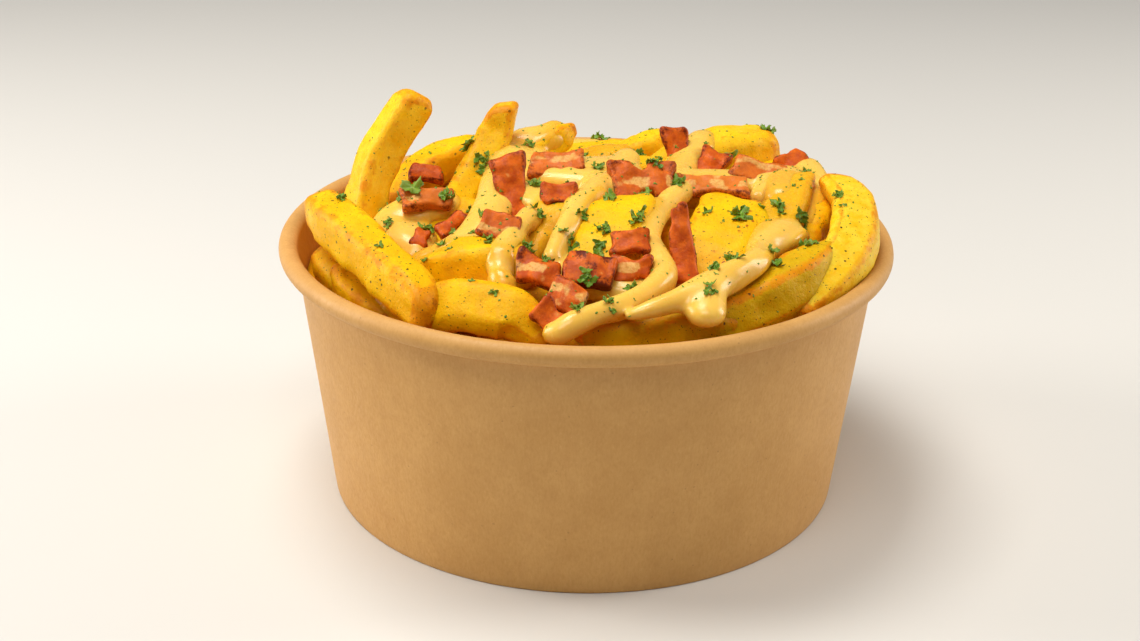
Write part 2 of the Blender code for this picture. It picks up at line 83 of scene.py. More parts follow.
# path, width, thickness, roll, kind, options
#   cook: how brown, film: share of the piece under a thin coat of sauce, tail/head: end shapes
# pieces low in the heap also carry an amount of painted shade that darkens them as if in shadow
FRIES = [
    ("tall_left", [(-43.5, 15.5, 92.0), (-49.5, 12, 83), (-53.5, 8, 75), (-55.5, 4, 66), (-57, 1, 56)], 10.2, 9.8, 0, dict(cook=.25, cut=(.05, 0), cutd=(.1, 0), pale=.6, head=.93, soft=.62, round=.34)),
    ("over_rim_left", [(-62.5, -13, 74), (-57, -24, 73.5), (-48, -37, 71.5), (-41, -46, 69), (-36, -53, 66.5)], 10.4, 11.0, 0, dict(cook=.4, specks=.9, soft=.62, round=.42, tail=.88, head=.84)),
    ("low_left_1", [(-62, -13, 62), (-58, -20, 60), (-51, -29, 56)], 10.0, 9.5, 0, dict(cook=.35, painted_shade=.15, specks=.9)),
    ("low_left_2", [(-56, -24, 61), (-51, -32, 58), (-41, -38, 54)], 10.5, 10.0, 0, dict(cook=.35, painted_shade=.2, specks=.8)),
    ("low_left_3", [(-46, -35, 59), (-36, -41, 55)], 10.0, 9.0, 0, dict(cook=.4, painted_shade=.3, specks=.8)),
    ("back_left", [(-50, 19, 64), (-41.5, 29, 70), (-31, 36, 71.5), (-20, 40, 69)], 9.5, 10.0, 0, dict(cook=.4, film=.25)),
    ("tall_middle", [(-21.5, 22, 88.5), (-24, 20, 82), (-29, 12, 74), (-34, 0, 69), (-39, -12, 64)], 8.4, 8.6, 0, dict(cook=.35, film=.42, pale=.3, cut=(-.45, 0), head=.78, spot=1)),
    ("back_tip", [(-18, 20, 75), (-5.5, 30, 80.5)], 7.4, 7.0, 0, dict(cook=.3, cut=(0, .4), tail=.6)),
    ("back_1", [(-10, 40, 68), (9, 44, 69.5)], 9.0, 9.0, 0, dict(cook=.15, pale=.2)),
    ("back_2", [(3, 38, 68), (21, 44, 73)], 9.5, 9.5, 0, dict(cook=.15, pale=.2)),
    ("back_right", [(20, 24, 70), (34, 31, 75), (46, 36, 75.3)], 13.5, 11.5, 0, dict(cook=.12, pale=.4, tail=.9)),
    ("back_right_low", [(42, 26, 68), (52, 27, 72)], 8.0, 8.0, 0, dict(cook=.2)),
    ("wedge_right", [(62.5, 1, 76), (65, -10, 74.5), (63, -23, 71), (58, -33, 67), (50, -42, 62)], 14.4, 11.0, 40, dict(cook=.5, pale=1., specks=1., kind="wedge", head=.86, tail=.6)),
    ("wedge_front_right", [(57, -26.5, 71.5), (50.5, -35.5, 69), (42, -43, 66.5), (30, -49, 62.5), (20, -52, 60)], 14.5, 11.5, 28, dict(cook=.75, olive=.8, specks=1., kind="wedge", head=.34, head_reach=.36, tail=.8)),
    ("chunk_right", [(30, -35, 62), (34, -21, 69), (37, -8, 71)], 20.0, 13.0, 0, dict(cook=.25, sear=1., head=.80, head_reach=.3, round=.22, soft=.28, cut=(0, -.15))),
    ("chunk_middle", [(2, -38, 65), (6, -25, 72.5), (9, -16, 74.5)], 17.0, 12.0, 0, dict(cook=.15, film=.1, head=.85, soft=.36)),
    ("wedge_front_left", [(-34.5, -49.5, 64.5), (-27, -52, 67.2), (-16, -54.5, 66), (-10, -57.5, 62)], 15.0, 12.5, -10, dict(cook=.35, kind="wedge", tail=.62, tail_reach=.3, head=.86, cut=(.25, -.2))),
    ("coated_left", [(-39, -31, 64), (-28, -36, 69.5), (-15, -37, 70)], 11.5, 10.5, 0, dict(cook=.2, film=.55, specks=.8)),
    ("coated_middle", [(-15, -27, 66), (-6.5, -15, 74)], 10.0, 10.0, 0, dict(cook=.2, film=.9)),
    ("coated_right", [(51, 4, 74.5), (47.5, -9, 72), (41, -23, 67.5)], 11.0, 10.5, 0, dict(cook=.2, film=1.)),
    ("low_right", [(56, -2, 71), (50, -16, 65)], 9.5, 9.0, 0, dict(cook=.4, painted_shade=.2, film=.4)),
    ("front_rim", [(0, -55, 60.5), (16, -53, 61), (30, -49, 60)], 10.0, 10.0, 0, dict(cook=.4, olive=.9, specks=1.)),
    ("low_middle", [(-3, -34, 66), (9, -45, 61)], 9.0, 9.0, 0, dict(cook=.3, film=.6, painted_shade=.4)),
    ("under_sheet_1", [(-17, 20, 69), (10, 25, 74)], 10.0, 10.0, 0, dict(film=.7)),
    ("under_sheet_2", [(-3, 33, 69), (22, 15, 73.5)], 10.0, 9.5, 0, dict(film=.3)),
    ("under_sheet_3", [(-20, -5, 69), (14, -3, 73.5)], 10.5, 10.0, 0, dict(film=.7)),
    ("under_bacon", [(22, 8, 69), (46, 15, 71.5)], 10.0, 10.0, 0, dict(film=.6)),
    ("under_patch", [(-52, -4, 61), (-40, 0, 66), (-26, -4, 68)], 10.0, 10.0, 0, dict(film=.7)),
    ("behind_1", [(-54, 26, 58.5), (-44, 44, 61.5), (-28, 56, 61)], 10.0, 9.5, 0, dict(cook=.4)),
    ("behind_2", [(-24, 57, 59), (-2, 60, 62), (20, 58, 61.5)], 10.5, 10.0, 0, dict(cook=.3)),
    ("behind_3", [(24, 55, 60), (41, 47, 62.5), (54, 33, 62)], 10.0, 10.5, 0, dict(cook=.4)),
    ("behind_4", [(60, 8, 62), (61, 22, 64), (55, 34, 60)], 9.0, 9.0, 0, dict(cook=.5)),
]

SAUCE_DEPTH = 6.4
SAUCE = [
    ("fall_left", [(-18.5, 16, 77.5, 4.5), (-21, 3, 76.5, 5), (-22, -12, 75.5, 5), (-25.5, -24, 72.5, 5), (-31.5, -29.5, 69.8, 4.2), (-37, -31, 67, 2.5)]),
    ("fall_left_side", [(-24, -22, 73, 4), (-20, -27, 72, 3.4), (-16, -29, 71.5, 2.6)]),
    ("sheet", [(-20, 21, 76.5, 6), (-12, 10, 77.5, 9), (-2, 5, 78, 9), (6, 5, 78, 8), (9, -4, 78, 5)]),
    ("sheet_low", [(-16, -6, 76.3, 5), (-10.5, -12, 76.2, 4.5)]),
    ("strip_middle", [(3.5, -4.5, 78, 3.8), (-1.5, -17, 77.8, 2.7), (-5.5, -29, 75.6, 2.3), (-8, -38.5, 72.6, 2.2)]),
    ("strip_short", [(-13.5, -22, 76.4, 2.6), (-16, -29.5, 76, 2.4), (-18.6, -37, 74.4, 2.3), (-19.5, -42.5, 71.8, 2.5), (-18.5, -46.5, 69, 2.5)]),
    ("strip_long", [(22.5, -4, 76.5, 3.4), (17, -18, 76, 2.7), (14.5, -31, 74.6, 2.5), (16, -39, 73, 2.8), (17, -46, 70.8, 3.2), (11.5, -54, 69.3, 2.8), (3, -60, 68.3, 2.6), (-3, -63.5, 67, 3), (-6, -65, 65.5, 2.8)]),
    ("strip_front", [(9, -62, 68.5, 1.4), (14, -60.5, 69.5, 2.2), (20.5, -57, 70.5, 2.8), (27, -52, 71.5, 4), (33, -47, 73, 3), (37, -42, 73.5, 2.6), (40.5, -30, 72, 3), (44.5, -23, 72.5, 4.5), (48, -20, 71.5, 3.5)]),
    ("drop_front", [(26.5, -54, 71, 4), (25.5, -60, 68.5, 4.6)]),
    ("fall_right", [(55.5, 18, 75, 4.6), (57, 11, 73.2, 4.4), (55, 1, 71.5, 4.2), (52, -8, 70, 3.6)]),
    ("film_right", [(44, 2, 73.5, 4), (50, 11, 75, 5), (47.5, -3, 74.5, 4)]),
    ("patch_left", [(-36.5, -2, 72, 5), (-43, -4, 70.5, 6), (-48, -8, 68.5, 4), (-43, -14, 68, 6), (-40, -19, 66.5, 4)]),
    ("bump_back", [(-20, 24, 76.5, 3.5), (-16, 27, 79, 4.5), (-11, 28, 79.5, 4.5), (-8, 30, 79.5, 3)]),
    ("bump_middle", [(8.5, 6, 78.5, 3.2), (10, 12, 79, 3.6)]),
    ("bump_right", [(22, 8, 75.8, 3.5), (25, 18, 76.5, 3.8), (28, 26, 78, 4), (29.5, 30, 78.5, 3)]),
    ("band_right", [(21, 2, 76.8, 4), (30, 8, 75, 4), (40, 10, 74.3, 4), (50, 12, 74.3, 4)]),
    ("pool_front", [(-3, -41, 69.5, 5), (3, -44, 68.5, 5), (9, -46, 68, 5)]),
    ("run_behind", [(-18, 24, 76, 4), (-19, 38, 73.5, 4.5), (-8, 49, 69.5, 4.5), (8, 52, 68.5, 4), (20, 51, 68, 3)]),
]

# node, middle, length, width, thickness, turn, lift, options
BACON = [
    ("bacon_01", (-18, -10.5, 79), 18.5, 6.8, 2.8, 97, 38, dict(fat=.1, char=.25)),
    ("bacon_02", (-20, -31, 77), 9.5, 5.8, 3.0, -20, 45, dict(fat=.75, pink=.4)),
    ("bacon_03", (-7.5, 3.5, 80.8), 13.0, 6.8, 3.0, 8, 55, dict(fat=.7, notch=1, pink=.6)),
    ("bacon_04", (-7, -15.5, 79.6), 8.2, 5.2, 3.0, 0, 50, dict(fat=.1, char=.6)),
    ("bacon_05", (13.5, -6, 79.5), 14.0, 9.0, 4.2, 5, 50, dict(fat=.7, notch=1, pink=.4)),
    ("bacon_06", (23, 20, 78), 13.0, 5.2, 3.0, 98, 30, dict(fat=.1, char=.3)),
    ("bacon_07", (31.5, 17, 76.5), 7.5, 6.6, 4.5, 60, 45, dict(fat=.4, char=.4)),
    ("bacon_08", (31.5, -2.5, 77.6), 17.5, 6.0, 2.6, -6, 65, dict(fat=.8, pink=.9)),
    ("bacon_09", (43.5, 9.5, 76.8), 14.5, 6.0, 3.0, -12, 55, dict(fat=.7, pink=.7)),
    ("bacon_10", (52, 18, 76.8), 8.0, 6.0, 3.2, 35, 45, dict(fat=.15)),
    ("bacon_11", (21.5, -37.5, 74.8), 18.5, 5.4, 3.0, 97, 30, dict(fat=.05, char=.2, tip=1)),
    ("bacon_12", (0.8, -47.8, 73), 11.5, 7.4, 3.8, -10, 45, dict(fat=.15, char=.9)),
    ("bacon_13", (10, -37.8, 76), 8.5, 5.6, 3.2, 8, 45, dict(fat=0., char=.2)),
    ("bacon_14", (10, -45.2, 72), 8.5, 6.2, 3.6, 0, 45, dict(fat=1., notch=1)),
    ("bacon_15", (-10.8, -47, 72.3), 10.0, 7.0, 3.6, -20, 45, dict(fat=.75, char=.35)),
    ("bacon_16", (-4.8, -54.5, 69.3), 8.5, 7.2, 3.4, -25, 40, dict(fat=.8, char=.2)),
    ("bacon_17", (-8.6, -61, 67.8), 7.0, 5.4, 3.2, -50, 40, dict(fat=.5)),
    ("bacon_18", (-38.3, -7, 75), 12.0, 5.8, 3.4, 5, 55, dict(fat=.5, pink=.8)),
    ("bacon_19", (-40.5, 19, 72.8), 8.0, 4.8, 3.2, -10, 50, dict(fat=.1, char=.3)),
    ("bacon_20", (-32, -18, 72.5), 7.5, 3.2, 2.8, 38, 45, dict(fat=.1, char=.4)),
    ("bacon_21", (-39, -19.5, 69.5), 5.0, 3.4, 2.6, 70, 45, dict(fat=0., char=.5)),
    ("bacon_22", (-9, 56.5, 68.8), 10.0, 6.5, 3.0, 20, 115, dict(fat=.4)),
    ("bacon_23", (15, 57, 68.8), 9.0, 6.0, 3.0, -35, 115, dict(fat=.3)),
    ("bacon_24", (41, 48, 69.5), 8.5, 6.0, 3.0, 30, 105, dict(fat=.4)),
]


# ---------------------------------------------------------------- noise
def _hash(ix, iy, iz, seed):
    h = (ix * 374761393 + iy * 668265263 + iz * 2147483647 + seed * 1274126177) & 0xFFFFFFFF
    h = ((h ^ (h >> 13)) * 1274126177) & 0xFFFFFFFF
    h = ((h ^ (h >> 16)) * 2246822519) & 0xFFFFFFFF
    return ((h ^ (h >> 15)) & 0xFFFFFF) / float(0xFFFFFF)


def vnoise(p, scale, seed=0):
    """Smooth value noise in -1..1; scale is the size of a feature in the points' unit."""
    q = np.asarray(p, float) / scale
    base = np.floor(q).astype(np.int64)
    f = q - base
    f = f * f * f * (f * (f * 6 - 15) + 10)
    out = 0
    for dx in (0, 1):
        wx = f[..., 0] if dx else 1 - f[..., 0]
        for dy in (0, 1):
            wy = f[..., 1] if dy else 1 - f[..., 1]
            for dz in (0, 1):
                wz = f[..., 2] if dz else 1 - f[..., 2]
                out = out + wx * wy * wz * _hash(base[..., 0] + dx, base[..., 1] + dy, base[..., 2] + dz, seed)
    return out * 2 - 1


def fbm(p, scale, seed=0, octaves=3):
    total, amp, norm = 0, 1.0, 0
    for k in range(octaves):
        total = total + amp * vnoise(p, scale / 2 ** k, seed + 17 * k)
        norm += amp
        amp *= 0.5
    return total / norm


def smoothstep(a, b, x):
    t = np.clip((x - a) / (b - a), 0, 1)
    return t * t * (3 - 2 * t)


# ---------------------------------------------------------------- paths
def smooth_path(points, steps):
    pts = np.array(points, float)
    pts = np.vstack([2 * pts[0] - pts[1], pts, 2 * pts[-1] - pts[-2]])
    spans = len(pts) - 3
    out = []
    for s in range(steps + 1):
        f = spans * s / steps
        i = min(int(f), spans - 1)
        t = f - i
        a, b, c, d = pts[i:i + 4]
        out.append(0.5 * (2 * b + (-a + c) * t + (2 * a - 5 * b + 4 * c - d) * t * t + (-a + 3 * b - 3 * c + d) * t ** 3))
    return np.array(out)


def even_path(points, count):
    fine = smooth_path(points, 24 * (len(points) - 1))
    seg = np.linalg.norm(np.diff(fine[:, :3], axis=0), axis=1)
    s = np.concatenate([[0], np.cumsum(seg)])
    t = np.linspace(0, s[-1], count)
    return np.stack([np.interp(t, s, fine[:, k]) for k in range(fine.shape[1])], 1), s[-1]


def frames_along(c, roll):
    n = len(c)
    T = np.gradient(c, axis=0)
    T /= np.linalg.norm(T, axis=1)[:, None]
    sides, overs = [], []
    side = None
    for i in range(n):
        t = T[i]
        if side is None:
            up = np.array([0, 0, 1.0]) if abs(t[2]) < 0.8 else np.array([0, 1.0, 0])
            side = np.cross(t, up)
        side = side - t * (side @ t)
        side = side / np.linalg.norm(side)
        over = np.cross(side, t)
        r = math.radians(roll[i])
        sides.append(side * math.cos(r) + over * math.sin(r))
        overs.append(-side * math.sin(r) + over * math.cos(r))
    return T, np.array(sides), np.array(overs)


# ---------------------------------------------------------------- meshes
def make_mesh(name, verts, quads=None, tris=None, attrs=None, material=None, smooth=True):
    mesh = bpy.data.meshes.new(name)
    verts = np.asarray(verts, np.float32) * MM
    loops = []
    starts = []
    totals = []
    at = 0
    if quads is not None and len(quads):
        q = np.asarray(quads, np.int32)
        loops.append(q.reshape(-1))
        starts.append(at + 4 * np.arange(len(q)))
        totals.append(np.full(len(q), 4))
        at += 4 * len(q)
    if tris is not None and len(tris):
        t = np.asarray(tris, np.int32)
        loops.append(t.reshape(-1))
        starts.append(at + 3 * np.arange(len(t)))
        totals.append(np.full(len(t), 3))
        at += 3 * len(t)
    loops = np.concatenate(loops)
    starts = np.concatenate(starts)
    totals = np.concatenate(totals)
    mesh.vertices.add(len(verts))
    mesh.vertices.foreach_set("co", verts.reshape(-1))
    mesh.loops.add(len(loops))
    mesh.loops.foreach_set("vertex_index", loops.astype(np.int32))
    mesh.polygons.add(len(starts))
    mesh.polygons.foreach_set("loop_start", starts.astype(np.int32))
    mesh.update(calc_edges=True)
    mesh.validate()
    for key, values in (attrs or {}).items():
        a = mesh.attributes.new(key, "FLOAT", "POINT")
        a.data.foreach_set("value", np.asarray(values, np.float32))
    mesh.polygons.foreach_set("use_smooth", np.full(len(mesh.polygons), smooth))
    if material is not None:
        mesh.materials.append(material)
    obj = bpy.data.objects.new(name, mesh)
    bpy.context.scene.collection.objects.link(obj)
    return obj


class Pile:
    """Gathers pieces of one kind into one mesh."""

    def __init__(self):
        self.v, self.q, self.t, self.a, self.n = [], [], [], {}, 0

    def add(self, verts, quads, tris, attrs):
        self.v.append(verts)
        if quads is not None and len(quads):
            self.q.append(np.asarray(quads) + self.n)
        if tris is not None and len(tris):
            self.t.append(np.asarray(tris) + self.n)
        for k, x in attrs.items():
            self.a.setdefault(k, []).append(np.broadcast_to(x, (len(verts),)))
        self.n += len(verts)

    def make(self, name, material):
        return make_mesh(name, np.concatenate(self.v), np.concatenate(self.q) if self.q else None,
                         np.concatenate(self.t) if self.t else None,
                         {k: np.concatenate(x) for k, x in self.a.items()}, material)


def keep_in_bowl(v):
    """Presses what would pass the wall against its inner side."""
    r = np.hypot(v[:, 0], v[:, 1])
    z = v[:, 2]
    limit = wall_radius(z) - WALL - 0.12
    over_roll = z > ROLL_C[1]
    dz = np.clip(z - ROLL_C[1], 0, ROLL_R)
    limit = np.where(over_roll, ROLL_C[0] - np.sqrt(np.maximum((ROLL_R + 0.12) ** 2 - dz ** 2, 0)), limit)
    limit = np.where(z > BOWL_HEIGHT + 0.1, 1e9, limit)
    k = np.minimum(1, limit / np.maximum(r, 1e-9))
    v[:, 0] *= k
    v[:, 1] *= k
    return v


# ---------------------------------------------------------------- one fry
def section(corners, r, count):
    """Rounded polygon: points evenly along the outline, and 1 on the rounded corners."""
    pts, mark = [], []
    n = len(corners)
    c = [np.array(p, float) for p in corners]
    for i in range(n):
        p, q, w = c[i - 1], c[i], c[(i + 1) % n]
        e0, e1 = (p - q), (w - q)
        l0, l1 = np.linalg.norm(e0), np.linalg.norm(e1)
        e0, e1 = e0 / l0, e1 / l1
        half = math.acos(np.clip(e0 @ e1, -1, 1)) / 2
        back = min(r / math.tan(half), 0.48 * l0, 0.48 * l1)
        a, b = q + e0 * back, q + e1 * back
        for t in np.linspace(0, 1, 9):
            pts.append((1 - t) ** 2 * a + 2 * t * (1 - t) * q + t * t * b)
            mark.append(math.sin(math.pi * t) ** 0.5 if 0 < t < 1 else 0.0)
        nxt = c[(i + 1) % n]
    pts = np.array(pts)
    mark = np.array(mark)
    closed = np.vstack([pts, pts[:1]])
    s = np.concatenate([[0], np.cumsum(np.linalg.norm(np.diff(closed, axis=0), axis=1))])
    t = np.linspace(0, s[-1], count, endpoint=False)
    x = np.interp(t, s, closed[:, 0])
    y = np.interp(t, s, closed[:, 1])
    m = np.interp(t, s, np.append(mark, mark[0]))
    return x, y, m


def fry_shape(points, width, depth, roll, opt, seed, rings=54, around=44):
    rng = np.random.default_rng(seed)
    kind = opt.get("kind", "fry")
    c, length = even_path(points, rings)
    s = np.linspace(0, 1, rings)
    d_end = np.minimum(s, 1 - s) * length
    twist = np.linspace(-1, 1, rings) * rng.uniform(-9, 9)
    T, S, O = frames_along(c, roll + twist)
    along = np.stack([s * length, s * 0, s * 0 + seed], 1)
    c = c + S * (0.30 * vnoise(along, 11.0, seed))[:, None]
    wav_w = 1 + 0.06 * vnoise(along + [0, 3, 0], 9.0, seed + 1)
    wav_d = 1 + 0.06 * vnoise(along + [0, 7, 0], 8.0, seed + 2)
    h0, h1 = opt.get("head", rng.uniform(0.82, 0.95)), opt.get("tail", rng.uniform(0.82, 0.95))
    r0, r1 = opt.get("head_reach", 0.2), opt.get("tail_reach", 0.2)
    t_w = np.minimum(h0 + (1 - h0) * np.sin(np.clip(s / r0, 0, 1) * math.pi / 2), h1 + (1 - h1) * np.sin(np.clip((1 - s) / r1, 0, 1) * math.pi / 2))
    soft = opt.get("soft", rng.uniform(0.48, 0.66))
    j = lambda: rng.uniform(-0.09, 0.09)
    if kind == "wedge":
        cx, cy, corner = section([(-1.0, -0.75 + j()), (0.15, -1.0), (1.0, -0.55 + j()), (0.98, 0.1), (-0.05 + j(), 1.0), (-0.92, 0.05)], 0.36, around)
    elif rng.random() < 0.35:
        cx, cy, corner = section([(-1 + j(), -1), (1, -1 + j()), (1 + j(), 0.55), (0.5, 1 + j()), (-1, 1 + j())], soft * 0.8, around)
    else:
        cx, cy, corner = section([(-1 + j(), -1 + j()), (1 + j(), -1 + j()), (1 + j(), 1 + j()), (-1 + j(), 1 + j())], soft, around)
    verts, edge, end = [], [], []
    cap = min(width, depth) * opt.get("round", rng.uniform(0.22, 0.36))
    cut0, cut1 = opt.get("cut", (rng.uniform(-.3, .3), rng.uniform(-.3, .3)))
    cutd0, cutd1 = opt.get("cutd", (rng.uniform(-.25, .25), rng.uniform(-.25, .25)))
    core = 1 - cap / (0.5 * min(width, depth))
    caps = [(0.002, 1.05, 0.5), (core * 0.35, 1.045, 0.5), (core * 0.7, 1.03, 0.6), (core * 0.94, 1.0, 0.8)]
    caps += [(core + (1 - core) * math.sin(math.radians(a)), math.cos(math.radians(a)), 1.0) for a in (14, 30, 46, 62, 77)]
    if opt.get("plain"):
        caps = caps[::2]
    rows = [(-1, *x) for x in caps] + [(i, 1.0, 0, 0) for i in range(rings)] + [(rings, *x) for x in caps[::-1]]
    for i, inset, push, mark in rows:
        if i < 0 or i >= rings:
            k = 0 if i < 0 else rings - 1
            centre = c[k] + T[k] * (-1 if i < 0 else 1) * cap * push
        else:
            k, centre = i, c[i]
        w = width / 2 * wav_w[k] * t_w[k] * inset
        d = depth / 2 * wav_d[k] * t_w[k] * inset
        ring = centre + S[k] * (cx * w)[:, None] + O[k] * (cy * d)[:, None]
        f0 = math.exp(-((s[k] * length) / (width * 0.55)) ** 2)
        f1 = math.exp(-(((1 - s[k]) * length) / (width * 0.55)) ** 2)
        shear = (cx * w) * (cut0 * f0 + cut1 * f1) + (cy * d) * (cutd0 * f0 + cutd1 * f1)
        verts.append(ring + T[k] * shear[:, None])
        at_end = i < 0 or i >= rings
        edge.append(np.maximum(corner * (0 if at_end else 1), mark if (at_end and mark > 0.75) else 0))
        end.append(np.full(around, 1.0 if at_end else math.exp(-d_end[k] / 2.4)))
    n_rows = len(rows)
    v = np.concatenate(verts)
    edge = np.concatenate(edge)
    end = np.concatenate(end)
    middle = np.repeat(np.array([r.mean(0) for r in verts]), around, axis=0)
    nrm = v - middle
    size = np.linalg.norm(nrm, axis=1)
    nrm /= np.maximum(size, 1e-6)[:, None]
    capdir = np.repeat(np.array([(-T[0] if i < 0 else T[-1]) if (i < 0 or i >= rings) else np.zeros(3) for i, *_ in rows]), around, axis=0)
    flat = np.repeat(np.array([1 - inset for _, inset, *_ in rows]), around)
    nrm = nrm * (1 - flat)[:, None] + capdir * flat[:, None]
    off = np.array([seed * 13.7, seed * 7.1, seed * 3.3])
    low = fbm(v + off, 6.5, seed, 2) * 0.50
    mid = fbm(v + off, 2.4, seed + 5, 2) * 0.17
    dent = -0.45 * smoothstep(0.45, 0.85, vnoise(v + off, 4.6, seed + 21))
    wrinkle = (1 - np.abs(vnoise(v + off + vnoise(v, 3.0, 9)[:, None] * 0.8, 1.7, seed + 9))) ** 5 * -0.10
    v = v + nrm * (low + mid + dent + wrinkle)[:, None]
    idx = np.arange(n_rows * around).reshape(n_rows, around)
    a, b = idx[:-1], idx[1:]
    quads = np.stack([a, np.roll(a, -1, 1), np.roll(b, -1, 1), b], -1).reshape(-1, 4)
    c0, c1 = len(v), len(v) + 1
    v = np.vstack([v, v[:around].mean(0), v[-around:].mean(0)])
    edge = np.concatenate([edge, [0, 0]])
    end = np.concatenate([end, [1, 1]])
    first, last = idx[0], idx[-1]
    tris = np.concatenate([np.stack([np.full(around, c0), np.roll(first, -1), first], -1),
                           np.stack([np.full(around, c1), last, np.roll(last, -1)], -1)])
    v = keep_in_bowl(v)
    attrs = dict(edge=edge, end=end, cook=opt.get("cook", 0.3), film=opt.get("film", 0.0), pale=opt.get("pale", 0.0),
                 olive=opt.get("olive", 0.0), sear=opt.get("sear", 0.0), painted_shade=opt.get("painted_shade", 0.0),
                 specks=opt.get("specks", 0.5), rnd=rng.random())
    return v, quads, tris, attrs


# ---------------------------------------------------------------- distance fields (mm)
class Field:
    def __init__(self, low, high, h):
        self.h = h
        self.low = np.array(low, float)
        n = np.ceil((np.array(high) - self.low) / h).astype(int) + 1
        self.axes = [self.low[k] + h * np.arange(n[k]) for k in range(3)]
        self.f = np.full(n, 50.0, np.float32)

    def window(self, lo, hi):
        sl = []
        for k in range(3):
            a = max(int((lo[k] - self.low[k]) / self.h), 0)
            b = min(int((hi[k] - self.low[k]) / self.h) + 2, len(self.axes[k]))
            sl.append(slice(a, max(b, a)))
        return tuple(sl)

    def points(self, sl):
        return np.stack(np.meshgrid(*[self.axes[k][sl[k]] for k in range(3)], indexing="ij"), -1)


def smooth_min(a, b, k):
    hh = np.clip(0.5 + 0.5 * (b - a) / k, 0, 1)
    return b * (1 - hh) + a * hh - k * hh * (1 - hh)


def blur(a, sigma):
    r = max(1, int(3 * sigma))
    x = np.arange(-r, r + 1)
    k = np.exp(-x * x / (2 * sigma * sigma))
    k /= k.sum()
    for axis in range(a.ndim):
        pad = [(0, 0)] * a.ndim
        pad[axis] = (r, r)
        p = np.pad(a, pad, mode="edge")
        out = np.zeros_like(a)
        for i, w in enumerate(k):
            sl = [slice(None)] * a.ndim
            sl[axis] = slice(i, i + a.shape[axis])
            out += w * p[tuple(sl)]
        a = out
    return a


def surface_nets(F, low, h):
    inside = F < 0
    nx, ny, nz = F.shape
    acc = np.zeros((nx - 1, ny - 1, nz - 1, 3), np.float32)
    cnt = np.zeros((nx - 1, ny - 1, nz - 1), np.float32)
    corner = lambda i, j, k: (slice(i, nx - 1 + i), slice(j, ny - 1 + j), slice(k, nz - 1 + k))
    edges = []
    for i in (0, 1):
        for j in (0, 1):
            edges += [((0, i, j), (1, i, j)), ((i, 0, j), (i, 1, j)), ((i, j, 0), (i, j, 1))]
    for a, b in edges:
        fa, fb = F[corner(*a)], F[corner(*b)]
        cross = inside[corner(*a)] != inside[corner(*b)]
        with np.errstate(divide="ignore", invalid="ignore"):
            t = np.where(cross, fa / (fa - fb), 0)
        for k in range(3):
            acc[..., k] += np.where(cross, a[k] + (b[k] - a[k]) * t, 0)
        cnt += cross
    act = cnt > 0
    number = np.full(act.shape, -1, np.int64)
    cells = np.argwhere(act)
    number[act] = np.arange(len(cells))
    verts = low + h * (cells + acc[act] / cnt[act][:, None])
    quads = []
    for axis in range(3):
        sl0 = [slice(None)] * 3
        sl1 = [slice(None)] * 3
        sl0[axis] = slice(0, F.shape[axis] - 1)
        sl1[axis] = slice(1, F.shape[axis])
        a, b = inside[tuple(sl0)], inside[tuple(sl1)]
        o1, o2 = [k for k in range(3) if k != axis]
        for flip, sel in ((False, a & ~b), (True, ~a & b)):
            e = np.argwhere(sel)
            e = e[(e[:, o1] > 0) & (e[:, o2] > 0) & (e[:, o1] < F.shape[o1] - 1) & (e[:, o2] < F.shape[o2] - 1)]
            if not len(e):
                continue
            def cell(d1, d2):
                q = e.copy()
                q[:, o1] -= d1
                q[:, o2] -= d2
                return number[q[:, 0], q[:, 1], q[:, 2]]
            ring = [cell(1, 1), cell(0, 1), cell(0, 0), cell(1, 0)]
            if axis == 1:
                ring = ring[::-1]
            if flip:
                ring = ring[::-1]
            quads.append(np.stack(ring, -1))
    quads = np.concatenate(quads)
    return verts, quads


def relax(verts, quads, rounds, amount=0.5):
    for _ in range(rounds):
        acc = np.zeros_like(verts)
        cnt = np.zeros(len(verts))
        for a, b in ((0, 1), (1, 2), (2, 3), (3, 0)):
            i, j = quads[:, a], quads[:, b]
            for k in range(3):
                acc[:, k] += np.bincount(i, verts[j, k], len(verts)) + np.bincount(j, verts[i, k], len(verts))
            cnt += np.bincount(i, minlength=len(verts)) + np.bincount(j, minlength=len(verts))
        verts = verts + amount * (acc / np.maximum(cnt, 1)[:, None] - verts)
    return verts


def put_fry(field, row, grow=0.0):
    name, points, width, depth, roll, opt = row
    c, length = even_path(points, 12)
    T, S, O = frames_along(c, np.full(12, float(roll)))
    pad = max(width, depth) * 0.8 + 6
    sl = field.window(c.min(0) - pad, c.max(0) + pad)
    P = field.points(sl)
    best = np.full(P.shape[:3], 50.0)
    rr = min(width, depth) * 0.22
    for i in range(len(c) - 1):
        a, b = c[i], c[i + 1]
        ab = b - a
        L = np.linalg.norm(ab)
        t = ab / L
        s_, o_ = S[i], O[i]
        rel = P - (a + b) / 2
        x = np.abs(rel @ s_) - (width / 2 + grow - rr)
        y = np.abs(rel @ o_) - (depth / 2 + grow - rr)
        z = np.abs(rel @ t) - (L / 2 + 0.6 - rr * 0.0)
        q = np.stack([x, y, z], -1)
        d = np.linalg.norm(np.maximum(q, 0), axis=-1) + np.minimum(q.max(-1), 0) - rr
        best = np.minimum(best, d)
    field.f[sl] = np.minimum(field.f[sl], best)
    return sl


